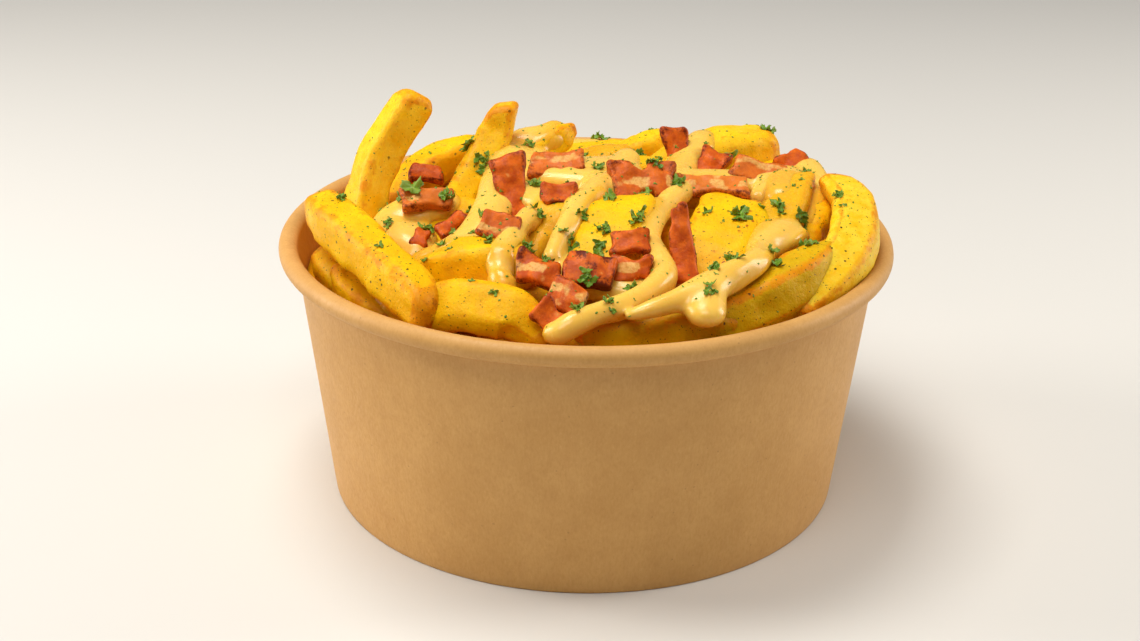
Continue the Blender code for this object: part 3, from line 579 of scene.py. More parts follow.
def put_run(field, points, depth_limit, k):
    steps = max(14, 8 * (len(points) - 1))
    c, length = even_path(points, steps)
    pad = c[:, 3].max() + 4
    sl = field.window(c[:, :3].min(0) - pad, c[:, :3].max(0) + pad)
    P = field.points(sl)
    best = np.full(P.shape[:3], 50.0)
    for i in range(len(c) - 1):
        a, b = c[i, :3], c[i + 1, :3]
        ab = b - a
        L2 = max(ab @ ab, 1e-9)
        rel = P - a
        u = np.clip((rel @ ab) / L2, 0, 1)
        q = rel - u[..., None] * ab
        hw = c[i, 3] + (c[i + 1, 3] - c[i, 3]) * u
        flat = np.maximum(1.0, 2 * hw / depth_limit)
        q = np.stack([q[..., 0], q[..., 1], q[..., 2] * flat], -1)
        d = (np.linalg.norm(q, axis=-1) - hw) / np.sqrt(flat)
        best = np.minimum(best, d)
    field.f[sl] = smooth_min(field.f[sl], best, k)


# ---------------------------------------------------------------- materials
class Nodes:
    """A short way to write a node material."""

    def __init__(self, name):
        self.mat = bpy.data.materials.new(name)
        self.mat.use_nodes = True
        self.tree = self.mat.node_tree
        self.shader = self.tree.nodes["Principled BSDF"]
        self.coord = self.tree.nodes.new("ShaderNodeTexCoord").outputs["Object"]

    def link(self, a, b):
        self.tree.links.new(a, b)

    def set(self, **values):
        for key, value in values.items():
            self.shader.inputs[key.replace("_", " ")].default_value = value

    def attr(self, name):
        n = self.tree.nodes.new("ShaderNodeAttribute")
        n.attribute_name = name
        return n.outputs["Fac"]

    def _in(self, socket, value):
        if hasattr(value, "is_output"):
            self.link(value, socket)
        else:
            socket.default_value = value

    def math(self, op, a, b=0.0, c=None, clamp=False):
        n = self.tree.nodes.new("ShaderNodeMath")
        n.operation = op
        n.use_clamp = clamp
        self._in(n.inputs[0], a)
        self._in(n.inputs[1], b)
        if c is not None:
            self._in(n.inputs[2], c)
        return n.outputs[0]

    def ramp(self, value, low, high, out0=0.0, out1=1.0):
        n = self.tree.nodes.new("ShaderNodeMapRange")
        n.interpolation_type = "SMOOTHSTEP"
        self._in(n.inputs["Value"], value)
        n.inputs["From Min"].default_value = low
        n.inputs["From Max"].default_value = high
        n.inputs["To Min"].default_value = out0
        n.inputs["To Max"].default_value = out1
        return n.outputs["Result"]

    def mix(self, fac, a, b, blend="MIX"):
        n = self.tree.nodes.new("ShaderNodeMix")
        n.data_type = "RGBA"
        n.blend_type = blend
        n.clamp_factor = True
        self._in(n.inputs[0], fac)
        for socket, value in ((n.inputs[6], a), (n.inputs[7], b)):
            if isinstance(value, tuple):
                socket.default_value = (*value, 1.0)
            else:
                self.link(value, socket)
        return n.outputs[2]

    def noise(self, size, detail=3.0, rough=0.5, stretch=None, distortion=0.0, vector=None):
        """size in mm"""
        n = self.tree.nodes.new("ShaderNodeTexNoise")
        n.inputs["Scale"].default_value = 1000.0 / size
        n.inputs["Detail"].default_value = detail
        n.inputs["Roughness"].default_value = rough
        n.inputs["Distortion"].default_value = distortion
        self.link(vector or self.mapped(stretch), n.inputs["Vector"])
        return n.outputs["Fac"]

    def mapped(self, stretch=None, offset=(0, 0, 0)):
        if stretch is None and offset == (0, 0, 0):
            return self.coord
        m = self.tree.nodes.new("ShaderNodeMapping")
        m.inputs["Scale"].default_value = stretch or (1, 1, 1)
        m.inputs["Location"].default_value = offset
        self.link(self.coord, m.inputs["Vector"])
        return m.outputs["Vector"]

    def warped(self, size, amount, offset=(0, 0, 0)):
        n = self.tree.nodes.new("ShaderNodeTexNoise")
        n.inputs["Scale"].default_value = 1000.0 / size
        n.inputs["Detail"].default_value = 2.0
        self.link(self.coord, n.inputs["Vector"])
        v = self.tree.nodes.new("ShaderNodeVectorMath")
        v.operation = "MULTIPLY_ADD"
        self.link(n.outputs["Color"], v.inputs[0])
        v.inputs[1].default_value = (amount * MM,) * 3
        self.link(self.mapped(None, offset), v.inputs[2])
        return v.outputs[0]

    def cells(self, size, vector=None, randomness=1.0):
        """distance to the nearest scattered point (in cell widths) and that point's random number"""
        n = self.tree.nodes.new("ShaderNodeTexVoronoi")
        n.inputs["Scale"].default_value = 1000.0 / size
        n.inputs["Randomness"].default_value = randomness
        self.link(vector or self.coord, n.inputs["Vector"])
        sep = self.tree.nodes.new("ShaderNodeSeparateColor")
        self.link(n.outputs["Color"], sep.inputs[0])
        return n.outputs["Distance"], sep.outputs[0], sep.outputs[1]

    def bump(self, height, distance, strength=1.0, normal=None):
        n = self.tree.nodes.new("ShaderNodeBump")
        n.inputs["Strength"].default_value = strength
        n.inputs["Distance"].default_value = distance * MM
        self.link(height, n.inputs["Height"])
        if normal is not None:
            self.link(normal, n.inputs["Normal"])
        return n.outputs["Normal"]

    def finish(self, colour, rough, normal):
        self._in(self.shader.inputs["Base Color"], colour)
        self._in(self.shader.inputs["Roughness"], rough)
        if normal is not None:
            self.link(normal, self.shader.inputs["Normal"])
        return self.mat


def specks(n, size, radius, share, offset, amount=1.0):
    """Small dark flecks: 1 inside a fleck."""
    dist, pick, pick2 = n.cells(size, n.warped(1.1, 0.5, offset))
    near = n.ramp(dist, radius, radius * 0.6)
    keep = n.ramp(pick, share, share - 0.02)
    return n.math("MULTIPLY", n.math("MULTIPLY", near, keep), amount)


def potato_material():
    n = Nodes("fried_potato_visible")
    edge, end, cook = n.attr("edge"), n.attr("end"), n.attr("cook")
    film, pale, olive = n.attr("film"), n.attr("pale"), n.attr("olive")
    sear, painted_shade, rnd, speck = n.attr("sear"), n.attr("painted_shade"), n.attr("rnd"), n.attr("specks")
    broad = n.noise(9.0, 3, 0.5)
    medium = n.noise(3.2, 4, 0.6)
    fine = n.noise(0.9, 3, 0.6)
    yellow = n.mix(n.ramp(broad, 0.35, 0.68), (0.88, 0.46, 0.0010), (0.97, 0.56, 0.0020))
    col = n.mix(n.math("MULTIPLY", pale, n.ramp(medium, 0.30, 0.62)), yellow, (0.92, 0.62, 0.035))
    col = n.mix(n.math("MULTIPLY", olive, n.ramp(medium, 0.15, 0.5, 0.5, 1.0)), col, (0.60, 0.37, 0.002))
    blotch = n.ramp(n.noise(2.1, 4, 0.7), 0.50, 0.78, 0.0, 0.50)
    col = n.mix(blotch, col, (0.82, 0.36, 0.0012))
    # golden frying on corners and ends
    brown_at = n.math("ADD", n.math("MULTIPLY", edge, 0.88), n.math("MULTIPLY", end, 0.38))
    brown_at = n.math("MULTIPLY", brown_at, n.math("ADD", n.math("MULTIPLY", cook, 0.9), 0.35))
    brown_at = n.math("ADD", brown_at, n.ramp(medium, 0.42, 0.75, -0.30, 0.20))
    brown_at = n.math("ADD", brown_at, n.ramp(fine, 0.3, 0.8, -0.06, 0.10))
    col = n.mix(n.ramp(brown_at, 0.10, 0.75), col, (0.76, 0.28, 0.001))
    col = n.mix(n.ramp(brown_at, 0.78, 1.25), col, (0.38, 0.10, 0.004))
    # seared freckles
    sd, sp, _ = n.cells(1.5, n.warped(1.5, 0.9, (0.02, 0.01, 0)))
    zone = n.ramp(n.noise(7.0, 2, 0.5), 0.52, 0.62)
    freck = n.math("MULTIPLY", n.math("MULTIPLY", n.ramp(sd, 0.42, 0.22), n.ramp(sp, 0.5, 0.45)), n.math("MULTIPLY", zone, n.math("ADD", sear, 0.12)))
    col = n.mix(freck, col, (0.42, 0.12, 0.006))
    # herb flecks, fine and coarser
    s1 = specks(n, 0.8, 0.20, 0.45, (0, 0, 0))
    s2 = specks(n, 1.2, 0.17, 0.62, (0.011, 0.003, 0.007))
    s3 = specks(n, 2.9, 0.14, 0.40, (0.005, 0.013, 0.002))
    sp = n.math("MAXIMUM", n.math("MAXIMUM", n.math("MULTIPLY", s1, 0.75), s2), s3)
    sp = n.math("MULTIPLY", sp, n.math("ADD", n.math("MULTIPLY", speck, 0.6), 0.42), clamp=True)
    col = n.mix(sp, col, n.mix(n.ramp(medium, 0.4, 0.6), (0.050, 0.055, 0.006), (0.13, 0.055, 0.006)))
    # painted shade: pieces low in the heap are darkened as if lying in shadow
    col = n.mix(painted_shade, col, n.mix(1.0, col, (0.72, 0.55, 0.40), "MULTIPLY"))
    # thin coat of sauce
    coat = n.ramp(n.math("ADD", n.math("MULTIPLY", n.noise(8.0, 3, 0.5), 0.8), n.math("MULTIPLY", film, 0.85)), 0.78, 1.02)
    coat = n.math("MULTIPLY", coat, n.ramp(film, 0.02, 0.12))
    col = n.mix(n.math("MULTIPLY", coat, 0.70), col, (0.76, 0.38, 0.018))
    rough = n.math("ADD", n.ramp(fine, 0.3, 0.7, 0.34, 0.52), n.math("MULTIPLY", coat, -0.16))
    b1 = n.bump(n.noise(1.7, 4, 0.65), 0.42, 0.7)
    b2 = n.bump(n.noise(0.5, 3, 0.6), 0.17, 0.6, b1)
    n.set(Subsurface_Weight=0.25, Subsurface_Scale=0.003, IOR=1.38, Coat_Weight=0.03, Coat_Roughness=0.20)
    n.shader.inputs["Specular IOR Level"].default_value = 0.22
    n.shader.inputs["Subsurface Radius"].default_value = (1.0, 0.60, 0.05)
    return n.finish(col, rough, b2)


def sauce_material():
    n = Nodes("cheese_sauce_visible")
    broad = n.noise(14.0, 2, 0.5)
    thin = n.attr("thin")
    col = n.mix(n.ramp(broad, 0.3, 0.7), (0.85, 0.505, 0.075), (0.90, 0.570, 0.100))
    col = n.mix(n.math("MULTIPLY", thin, 0.8), col, (0.82, 0.43, 0.020))
    sp = specks(n, 3.4, 0.08, 0.22, (0.003, 0.005, 0.001))
    col = n.mix(n.math("MULTIPLY", sp, 0.8), col, (0.20, 0.12, 0.01))
    b1 = n.bump(n.noise(5.0, 3, 0.5), 0.30, 0.30)
    b2 = n.bump(n.noise(0.8, 2, 0.5), 0.03, 0.35, b1)
    rough = n.ramp(n.noise(3.0, 3, 0.5), 0.3, 0.7, 0.20, 0.33)
    n.set(Subsurface_Weight=0.35, Subsurface_Scale=0.0035, IOR=1.42, Coat_Weight=0.15, Coat_Roughness=0.14)
    n.shader.inputs["Subsurface Radius"].default_value = (1.0, 0.6, 0.18)
    return n.finish(col, rough, b2)


def bacon_material():
    n = Nodes("bacon_visible")
    fat, char, rim, pink, rnd = n.attr("fat"), n.attr("char"), n.attr("rim"), n.attr("pink"), n.attr("rnd")
    medium = n.noise(2.4, 4, 0.6)
    fine = n.noise(0.7, 4, 0.65)
    lean = n.mix(n.ramp(medium, 0.32, 0.68), (0.44, 0.034, 0.0008), (0.74, 0.125, 0.0015))
    lean = n.mix(n.math("MULTIPLY", pink, 0.8), lean, (0.72, 0.220, 0.030))
    # fat colour: the real fat tone, with its lighter end a painted highlight on the fat
    fat_and_highlight_col = n.mix(n.ramp(fine, 0.3, 0.7), (0.66, 0.27, 0.048), (0.84, 0.49, 0.150))
    col = n.mix(n.ramp(n.math("ADD", fat, n.ramp(medium, 0.2, 0.8, -0.25, 0.25)), 0.28, 0.62), lean, fat_and_highlight_col)
    dark = n.math("ADD", n.math("MULTIPLY", rim, 0.58), n.math("MULTIPLY", char, 0.85))
    dark = n.math("ADD", dark, n.ramp(fine, 0.3, 0.75, -0.35, 0.25))
    col = n.mix(n.ramp(dark, 0.25, 0.95), col, (0.13, 0.014, 0.004))
    b1 = n.bump(n.noise(1.3, 3, 0.6), 0.28, 0.7)
    b2 = n.bump(n.noise(0.42, 3, 0.7), 0.15, 0.8, b1)
    rough = n.ramp(fine, 0.3, 0.7, 0.28, 0.52)
    n.set(Subsurface_Weight=0.10, Subsurface_Scale=0.0015, IOR=1.42, Coat_Weight=0.05, Coat_Roughness=0.15)
    n.shader.inputs["Specular IOR Level"].default_value = 0.18
    n.shader.inputs["Subsurface Radius"].default_value = (1.0, 0.30, 0.10)
    return n.finish(col, rough, b2)


def leaf_material():
    n = Nodes("parsley_visible")
    rnd, tip = n.attr("rnd"), n.attr("tip")
    tone = n.noise(1.1, 3, 0.6)
    col = n.mix(n.ramp(tone, 0.3, 0.7), (0.085, 0.210, 0.009), (0.200, 0.400, 0.026))
    col = n.mix(n.math("MULTIPLY", rnd, 0.6), col, (0.26, 0.36, 0.030))
    col = n.mix(n.math("MULTIPLY", tip, 0.35), col, (0.05, 0.13, 0.006))
    b = n.bump(n.noise(0.5, 2, 0.6), 0.12, 0.6)
    n.set(Subsurface_Weight=0.1, Subsurface_Scale=0.001, IOR=1.42)
    return n.finish(col, n.ramp(tone, 0.3, 0.7, 0.32, 0.5), b)


def kraft_material():
    n = Nodes("kraft_board_visible")
    inner = n.attr("inner")
    fibre = n.noise(0.55, 4, 0.65, stretch=(1, 1, 0.45))
    cloud = n.noise(16.0, 4, 0.55)
    mottle = n.noise(2.8, 4, 0.6, stretch=(1, 1, 0.6))
    col = n.mix(n.ramp(cloud, 0.3, 0.7), (0.600, 0.318, 0.088), (0.655, 0.358, 0.108))
    col = n.mix(n.ramp(mottle, 0.35, 0.75, 0.0, 0.30), col, (0.520, 0.255, 0.062))
    col = n.mix(n.ramp(fibre, 0.40, 0.75, 0.0, 0.30), col, (0.46, 0.22, 0.05))
    col = n.mix(n.ramp(fibre, 0.42, 0.22, 0.0, 0.30), col, (0.74, 0.45, 0.17))
    dist, pick, _ = n.cells(2.4, n.warped(1.3, 0.8, (0.004, 0.002, 0)))
    flecks = n.math("MULTIPLY", n.ramp(dist, 0.13, 0.05), n.ramp(pick, 0.35, 0.33))
    col = n.mix(n.math("MULTIPLY", flecks, 0.45), col, (0.34, 0.15, 0.04))
    # painted shade: inside the bowl the board is darkened and warmed towards orange
    col = n.mix(inner, col, n.mix(1.0, col, (0.95, 0.80, 0.55), "MULTIPLY"))
    b1 = n.bump(fibre, 0.035, 0.6)
    b2 = n.bump(n.noise(6.0, 3, 0.5), 0.10, 0.25, b1)
    n.set(IOR=1.45)
    return n.finish(col, n.ramp(fibre, 0.3, 0.7, 0.46, 0.62), b2)


MAT_POTATO = potato_material()
MAT_SAUCE = sauce_material()
MAT_BACON = bacon_material()
MAT_LEAF = leaf_material()
MAT_KRAFT = kraft_material()


# ---------------------------------------------------------------- bowl
def bowl_mesh():
    steps = 288
    prof, inner = [], []

    def put(r, z, i=0.0):
        prof.append((r, z))
        inner.append(i)

    put(FOOT_RADIUS - FOOT_WIDTH + 0.25, 0.05)
    put(FOOT_RADIUS - FOOT_WIDTH + 0.5, 0.0)
    put(FOOT_RADIUS - 0.45, 0.0)
    put(FOOT_RADIUS - 0.12, 0.12)
    put(wall_radius(0.5), 0.5)
    for k in range(1, 30):
        z = 0.5 + (60.5 - 0.5) * k / 29
        put(wall_radius(z), z)
    # the inner weight sets the painted shade of the kraft: none outside, ramping up over the inner side of the roll,
    # full on the inner wall and floor
    for k in range(0, 41):
        a = math.radians(-140 + (180 + 140) * k / 40)
        put(ROLL_C[0] + ROLL_R * math.cos(a), ROLL_C[1] + ROLL_R * math.sin(a), 0.0 if a < math.radians(120) else (math.degrees(a) - 120) / 60)
    z_in = ROLL_C[1] - 0.4
    for k in range(20):
        z = z_in + (FLOOR_HEIGHT + FLOOR - z_in) * k / 19
        put(min(wall_radius(z) - WALL, ROLL_C[0] - ROLL_R), z, 1.0)
    zf = FLOOR_HEIGHT + FLOOR
    put(40, zf, 1.0)
    put(0, zf, 1.0)
    put(0, FLOOR_HEIGHT, 0.0)
    put(40, FLOOR_HEIGHT, 0.0)
    put(wall_radius(FLOOR_HEIGHT) - FOOT_WIDTH - 0.4, FLOOR_HEIGHT, 0.0)
    put(wall_radius(FLOOR_HEIGHT) - FOOT_WIDTH, FLOOR_HEIGHT - 0.4, 0.0)
    a = 2 * math.pi * np.arange(steps) / steps
    verts, att, rows, at = [], [], [], 0
    for (r, z), i in zip(prof, inner):
        if r < 1e-6:
            verts.append(np.array([[0, 0, z]]))
            rows.append(np.full(steps, at))
            at += 1
            att.append([i])
        else:
            zz = np.full(steps, z)
            rr = np.full(steps, float(r))
            if 1 < z < 62 and i < 0.5 and r > FOOT_RADIUS - 0.1:
                p = np.stack([r * np.cos(a), r * np.sin(a), zz], 1)
                rr = rr + 0.06 * vnoise(p, 22.0, 5)
                # overlap of the side seam, at the back
                d = (a - math.radians(96) + math.pi) % (2 * math.pi) - math.pi
                rr = rr + 0.16 * smoothstep(-0.004, 0.004, d) * smoothstep(0.16, 0.02, d)
            if z > 60 and i < 0.9:
                p = np.stack([r * np.cos(a), r * np.sin(a), zz], 1)
                rr = rr + 0.05 * vnoise(p, 30.0, 11)
                zz = zz + 0.05 * vnoise(p, 26.0, 12) - 0.05
            verts.append(np.stack([rr * np.cos(a), rr * np.sin(a), zz], 1))
            rows.append(at + np.arange(steps))
            at += steps
            att.append([i] * steps)
    quads, tris = [], []
    for j in range(len(rows)):
        one, two = rows[j], rows[(j + 1) % len(rows)]
        n1, n2 = np.roll(one, -1), np.roll(two, -1)
        single1, single2 = one[0] == one[1], two[0] == two[1]
        if single1 and single2:
            continue
        if single1:
            tris.append(np.stack([one, two, n2][::-1], -1))
        elif single2:
            tris.append(np.stack([one, n1, two], -1))
        else:
            quads.append(np.stack([one, n1, n2, two], -1))
    return np.concatenate(verts), np.concatenate(quads), np.concatenate(tris), dict(inner=np.concatenate(att))


v, q, t, at = bowl_mesh()
bowl = make_mesh("paper_bowl", v, q, t, at, MAT_KRAFT)
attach(bowl, "root")
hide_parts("bowl")

# ---------------------------------------------------------------- fries
pile = Pile()
for k, (name, points, width, depth, roll, opt) in enumerate(FRIES):
    pile.add(*fry_shape(points, width, depth, roll, opt, 40 + k, 41, 36))

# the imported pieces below: short fries lying every way, and the lower bed
rng = np.random.default_rng(8)
low_rows = []
for k in range(58):
    for attempt in range(30):
        r = 62 * math.sqrt(rng.random())
        a = rng.uniform(0, 2 * math.pi)
        x, y = r * math.cos(a), r * math.sin(a)
        surface = 66 + 12 * (1 - (r / 70) ** 2)
        z = surface - rng.uniform(9.5, 13.5)
        head = a + math.pi / 2 + rng.uniform(-1.2, 1.2) if r > 34 else rng.uniform(0, math.pi)
        half = rng.uniform(11, 19)
        p0 = np.array([x - half * math.cos(head), y - half * math.sin(head), z + rng.uniform(-2, 1.2)])
        p1 = np.array([x + half * math.cos(head), y + half * math.sin(head), z + rng.uniform(-2, 1.2)])
        if max(np.hypot(*p0[:2]), np.hypot(*p1[:2])) < 63:
            break
    low_rows.append(([tuple(p0), tuple((p0 + p1) / 2 + [0, 0, 0.5]), tuple(p1)], rng.uniform(8.5, 10.5), rng.uniform(8.5, 10.0), rng.uniform(-30, 30)))
# the low pieces below carry painted shade
for k, (points, width, depth, roll) in enumerate(low_rows):
    pile.add(*fry_shape(points, width, depth, roll, dict(cook=.35, painted_shade=.55, specks=.4, plain=1), 300 + k, 16, 18))

# bed that closes the heap below
steps = 96
rows = []
bed = []
for share in np.linspace(0, 1, 26):
    rr = share * (wall_radius(56) - WALL - 0.6)
    a = 2 * math.pi * np.arange(steps) / steps
    z = 54.5 + 9.5 * (1 - share ** 2)
    bed.append(np.stack([rr * np.cos(a), rr * np.sin(a), np.full(steps, z)], 1))
top_rows = len(bed)
for z in (50, 30, FLOOR_HEIGHT + FLOOR + 0.4):
    rr = wall_radius(z) - WALL - 0.6
    a = 2 * math.pi * np.arange(steps) / steps
    bed.append(np.stack([rr * np.cos(a), rr * np.sin(a), np.full(steps, z)], 1))
bed.append(np.stack([0 * a, 0 * a, np.full(steps, FLOOR_HEIGHT + FLOOR + 0.4)], 1))
v = np.concatenate(bed)
keep = np.repeat(np.arange(len(bed)), steps) < top_rows
v[:, 2] += np.where(keep, 1.6 * vnoise(v, 8.0, 3) + 0.5 * vnoise(v, 3.0, 4), 0)
idx = np.arange(len(v)).reshape(len(bed), steps)
q = np.stack([idx[:-1], idx[1:], np.roll(idx[1:], -1, 1), np.roll(idx[:-1], -1, 1)], -1).reshape(-1, 4)
# the bed carries strong painted shade
pile.add(v, q, None, dict(edge=0.0, end=0.0, cook=0.4, film=0.0, pale=0.0, olive=0.0, sear=0.0, painted_shade=0.9, specks=0.4, rnd=0.5))
fries = pile.make("fries", MAT_POTATO)
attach(fries, "root")
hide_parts("fries_heap")

# ---------------------------------------------------------------- cheese sauce
H = 0.6
potato = Field((-66, -70, 54), (70, 62, 96), H)
for row in FRIES:
    put_fry(potato, row)
for points, width, depth, roll in low_rows:
    put_fry(potato, ("low", points, width, depth, roll, {}))
runs = Field((-66, -70, 54), (70, 62, 96), H)
for name, points in SAUCE:
    put_run(runs, points, SAUCE_DEPTH, 1.6)
# film that creeps from the runs over the potato they touch
film = np.maximum(potato.f - 0.55, runs.f - 1.1)
body = smooth_min(runs.f, film, 1.2)
body = blur(body, 0.9 / H * 0.75)
v, q = surface_nets(body, runs.low, H)
v = relax(v, q, 2, 0.4)


def sample(field, pts):
    g = (pts - field.low) / field.h
    i = np.clip(np.floor(g).astype(int), 0, np.array(field.f.shape) - 2)
    f = g - i
    out = 0
    for dx in (0, 1):
        for dy in (0, 1):
            for dz in (0, 1):
                w = (f[:, 0] if dx else 1 - f[:, 0]) * (f[:, 1] if dy else 1 - f[:, 1]) * (f[:, 2] if dz else 1 - f[:, 2])
                out = out + w * field.f[i[:, 0] + dx, i[:, 1] + dy, i[:, 2] + dz]
    return out


v = keep_in_bowl(v)
thin = smoothstep(1.3, 0.4, sample(potato, v)) * smoothstep(-2.0, 0.8, sample(runs, v))
sauce = make_mesh("cheese_sauce", v, q, None, dict(thin=thin), MAT_SAUCE)
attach(sauce, "root")
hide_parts(*[k for k in frame["nodes"] if k.startswith("cheese_sauce")])


# ---------------------------------------------------------------- bacon
def polygon_distance(x, y, poly, r):
    """Signed distance to a polygon whose corners are rounded by r."""
    pts = np.array(poly, float)
    mid = pts.mean(0)
    pts = mid + (pts - mid) * (1 - r / np.linalg.norm(pts - mid, axis=1))[:, None]
    best = np.full(x.shape, 1e9)
    inside = np.zeros(x.shape, bool)
    for i in range(len(pts)):
        a, b = pts[i - 1], pts[i]
        e = b - a
        wx, wy = x - a[0], y - a[1]
        t = np.clip((wx * e[0] + wy * e[1]) / (e @ e), 0, 1)
        best = np.minimum(best, np.hypot(wx - t * e[0], wy - t * e[1]))
        cross = (a[1] > y) != (b[1] > y)
        with np.errstate(divide="ignore", invalid="ignore"):
            at = (b[0] - a[0]) * (y - a[1]) / (b[1] - a[1] if b[1] != a[1] else 1e-9) + a[0]
        inside ^= cross & (x < at)
    return np.where(inside, -best, best) - r


def bacon_shape(index, middle, length, width, thick, turn, lift, opt):
    rng = np.random.default_rng(900 + index)
    e = math.radians(lift)
    normal = np.array([0, -math.cos(e), math.sin(e)])
    right = np.array([1.0, 0, 0])
    upward = np.cross(normal, right)
    a = math.radians(turn)
    along = right * math.cos(a) + upward * math.sin(a)
    across = np.cross(normal, along)
    h = 0.36
    hl, hw, ht = length / 2 + 2.2, width / 2 + 1.9, thick / 2 + 2.4
    xs, ys, zs = [np.arange(-m, m + h, h) for m in (hl, hw, ht)]
    X, Y, Z = np.meshgrid(xs, ys, zs, indexing="ij")
    seed = 50 + index * 7
    P = np.stack([X, Y, Z + index * 31.0], -1)
    # wavy slab
    bend = 0.50 * np.sin(X / length * rng.uniform(3, 6) + rng.uniform(0, 6)) + 0.30 * np.sin(Y / width * rng.uniform(2, 4) + rng.uniform(0, 6)) + 0.40 * vnoise(P * [1, 1, 0.2], 3.8, seed + 12)
    zz = Z - bend
    wob = vnoise(P * [1, 1, 0.3], 4.2, seed)
    poly = []
    for cx, cy in ((-1, -1), (0, -1), (1, -1), (1, 0), (1, 1), (0, 1), (-1, 1), (-1, 0)):
        at_corner = abs(cx) == abs(cy)
        j = 0.22 if at_corner else 0.12
        px, py = cx * (1 if at_corner else 0.97) + rng.uniform(-j, j), cy * (1 if at_corner else 0.97) + rng.uniform(-j, j)
        if opt.get("tip") and cx == 1:
            py *= 0.4
        poly.append((px * length / 2, py * width / 2))
    warp = 0.45 * vnoise(P * [1, 1, 0.4], 3.2, seed)
    warp2 = 0.45 * vnoise(P * [1, 1, 0.4] + 50, 3.2, seed + 1)
    xr, yr = X + warp, Y + warp2
    d2 = polygon_distance(xr, yr, poly, 1.0)
    if opt.get("notch"):
        for _ in range(2):
            nx, ny = rng.uniform(-0.5, 0.5) * length / 2, rng.choice([-1, 1]) * width / 2 * 1.05
            d2 = -smooth_min(-d2, np.hypot(xr - nx, yr - ny) - width * 0.22, 0.8)
    T = thick / 2 * (0.92 + 0.30 * vnoise(P, 3.0, seed + 2))
    rt = 0.85
    qq = np.stack([d2 + rt, np.abs(zz) - T + rt], -1)
    d = np.linalg.norm(np.maximum(qq, 0), axis=-1) + np.minimum(qq.max(-1), 0) - rt
    d = d + 0.16 * vnoise(P, 2.0, seed + 3) + 0.07 * vnoise(P, 1.1, seed + 4)
    v, q4 = surface_nets(d.astype(np.float32), np.array([xs[0], ys[0], zs[0]]), h)
    v = relax(v, q4, 1, 0.3)
    lx, ly = v[:, 0], v[:, 1]
    band = ly + 0.8 * vnoise(np.stack([lx, ly * 0.5, lx * 0 + index], 1), 5.0, seed + 6)
    fat = 0.0
    if opt.get("fat", 0) > 0:
        where = rng.uniform(-0.25, 0.25) * width
        wide = 0.16 * width * (0.5 + opt["fat"])
        fat = smoothstep(wide * 1.5, wide * 0.3, np.abs(band - where)) * (0.2 + 0.7 * opt["fat"]) * smoothstep(-0.6, 0.35, vnoise(v, 3.4, seed + 7))
        fat = fat + 0.55 * opt["fat"] * smoothstep(0.25, 0.8, vnoise(v, 2.0, seed + 8))
    k = np.maximum(np.abs(lx) / (length / 2), np.abs(ly) / (width / 2))
    rim = smoothstep(0.72, 1.02, k)
    world = np.array(middle) + lx[:, None] * along + ly[:, None] * across + v[:, 2][:, None] * normal
    attrs = dict(fat=np.zeros(len(v)) + fat, char=opt.get("char", 0.15) * smoothstep(-0.5, 0.5, vnoise(v, 2.8, seed + 9)),
                 rim=rim, pink=opt.get("pink", 0.25), rnd=rng.random())
    return world, q4, None, attrs


for index, (name, middle, length, width, thick, turn, lift, opt) in enumerate(BACON):
    if name not in frame["nodes"]:
        continue
    v, q, t, at = bacon_shape(index, middle, length, width, thick, turn, lift, opt)
    v = keep_in_bowl(v)
    at = {k: np.broadcast_to(x, (len(v),)) for k, x in at.items()}
    piece = make_mesh("torn_" + name, v, q, None, at, MAT_BACON)
    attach(piece, "root")
    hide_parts(name)


# ---------------------------------------------------------------- parsley
def drop_tree(objects):
    vs, ps, at = [], [], 0
    for o in objects:
        m = o.data
        co = np.empty(len(m.vertices) * 3, np.float32)
        m.vertices.foreach_get("co", co)
        vs.append(co.reshape(-1, 3) / MM)
        for p in m.polygons:
            ps.append([i + at for i in p.vertices])
        at += len(m.vertices)
    return BVHTree.FromPolygons(np.concatenate(vs).tolist(), ps)


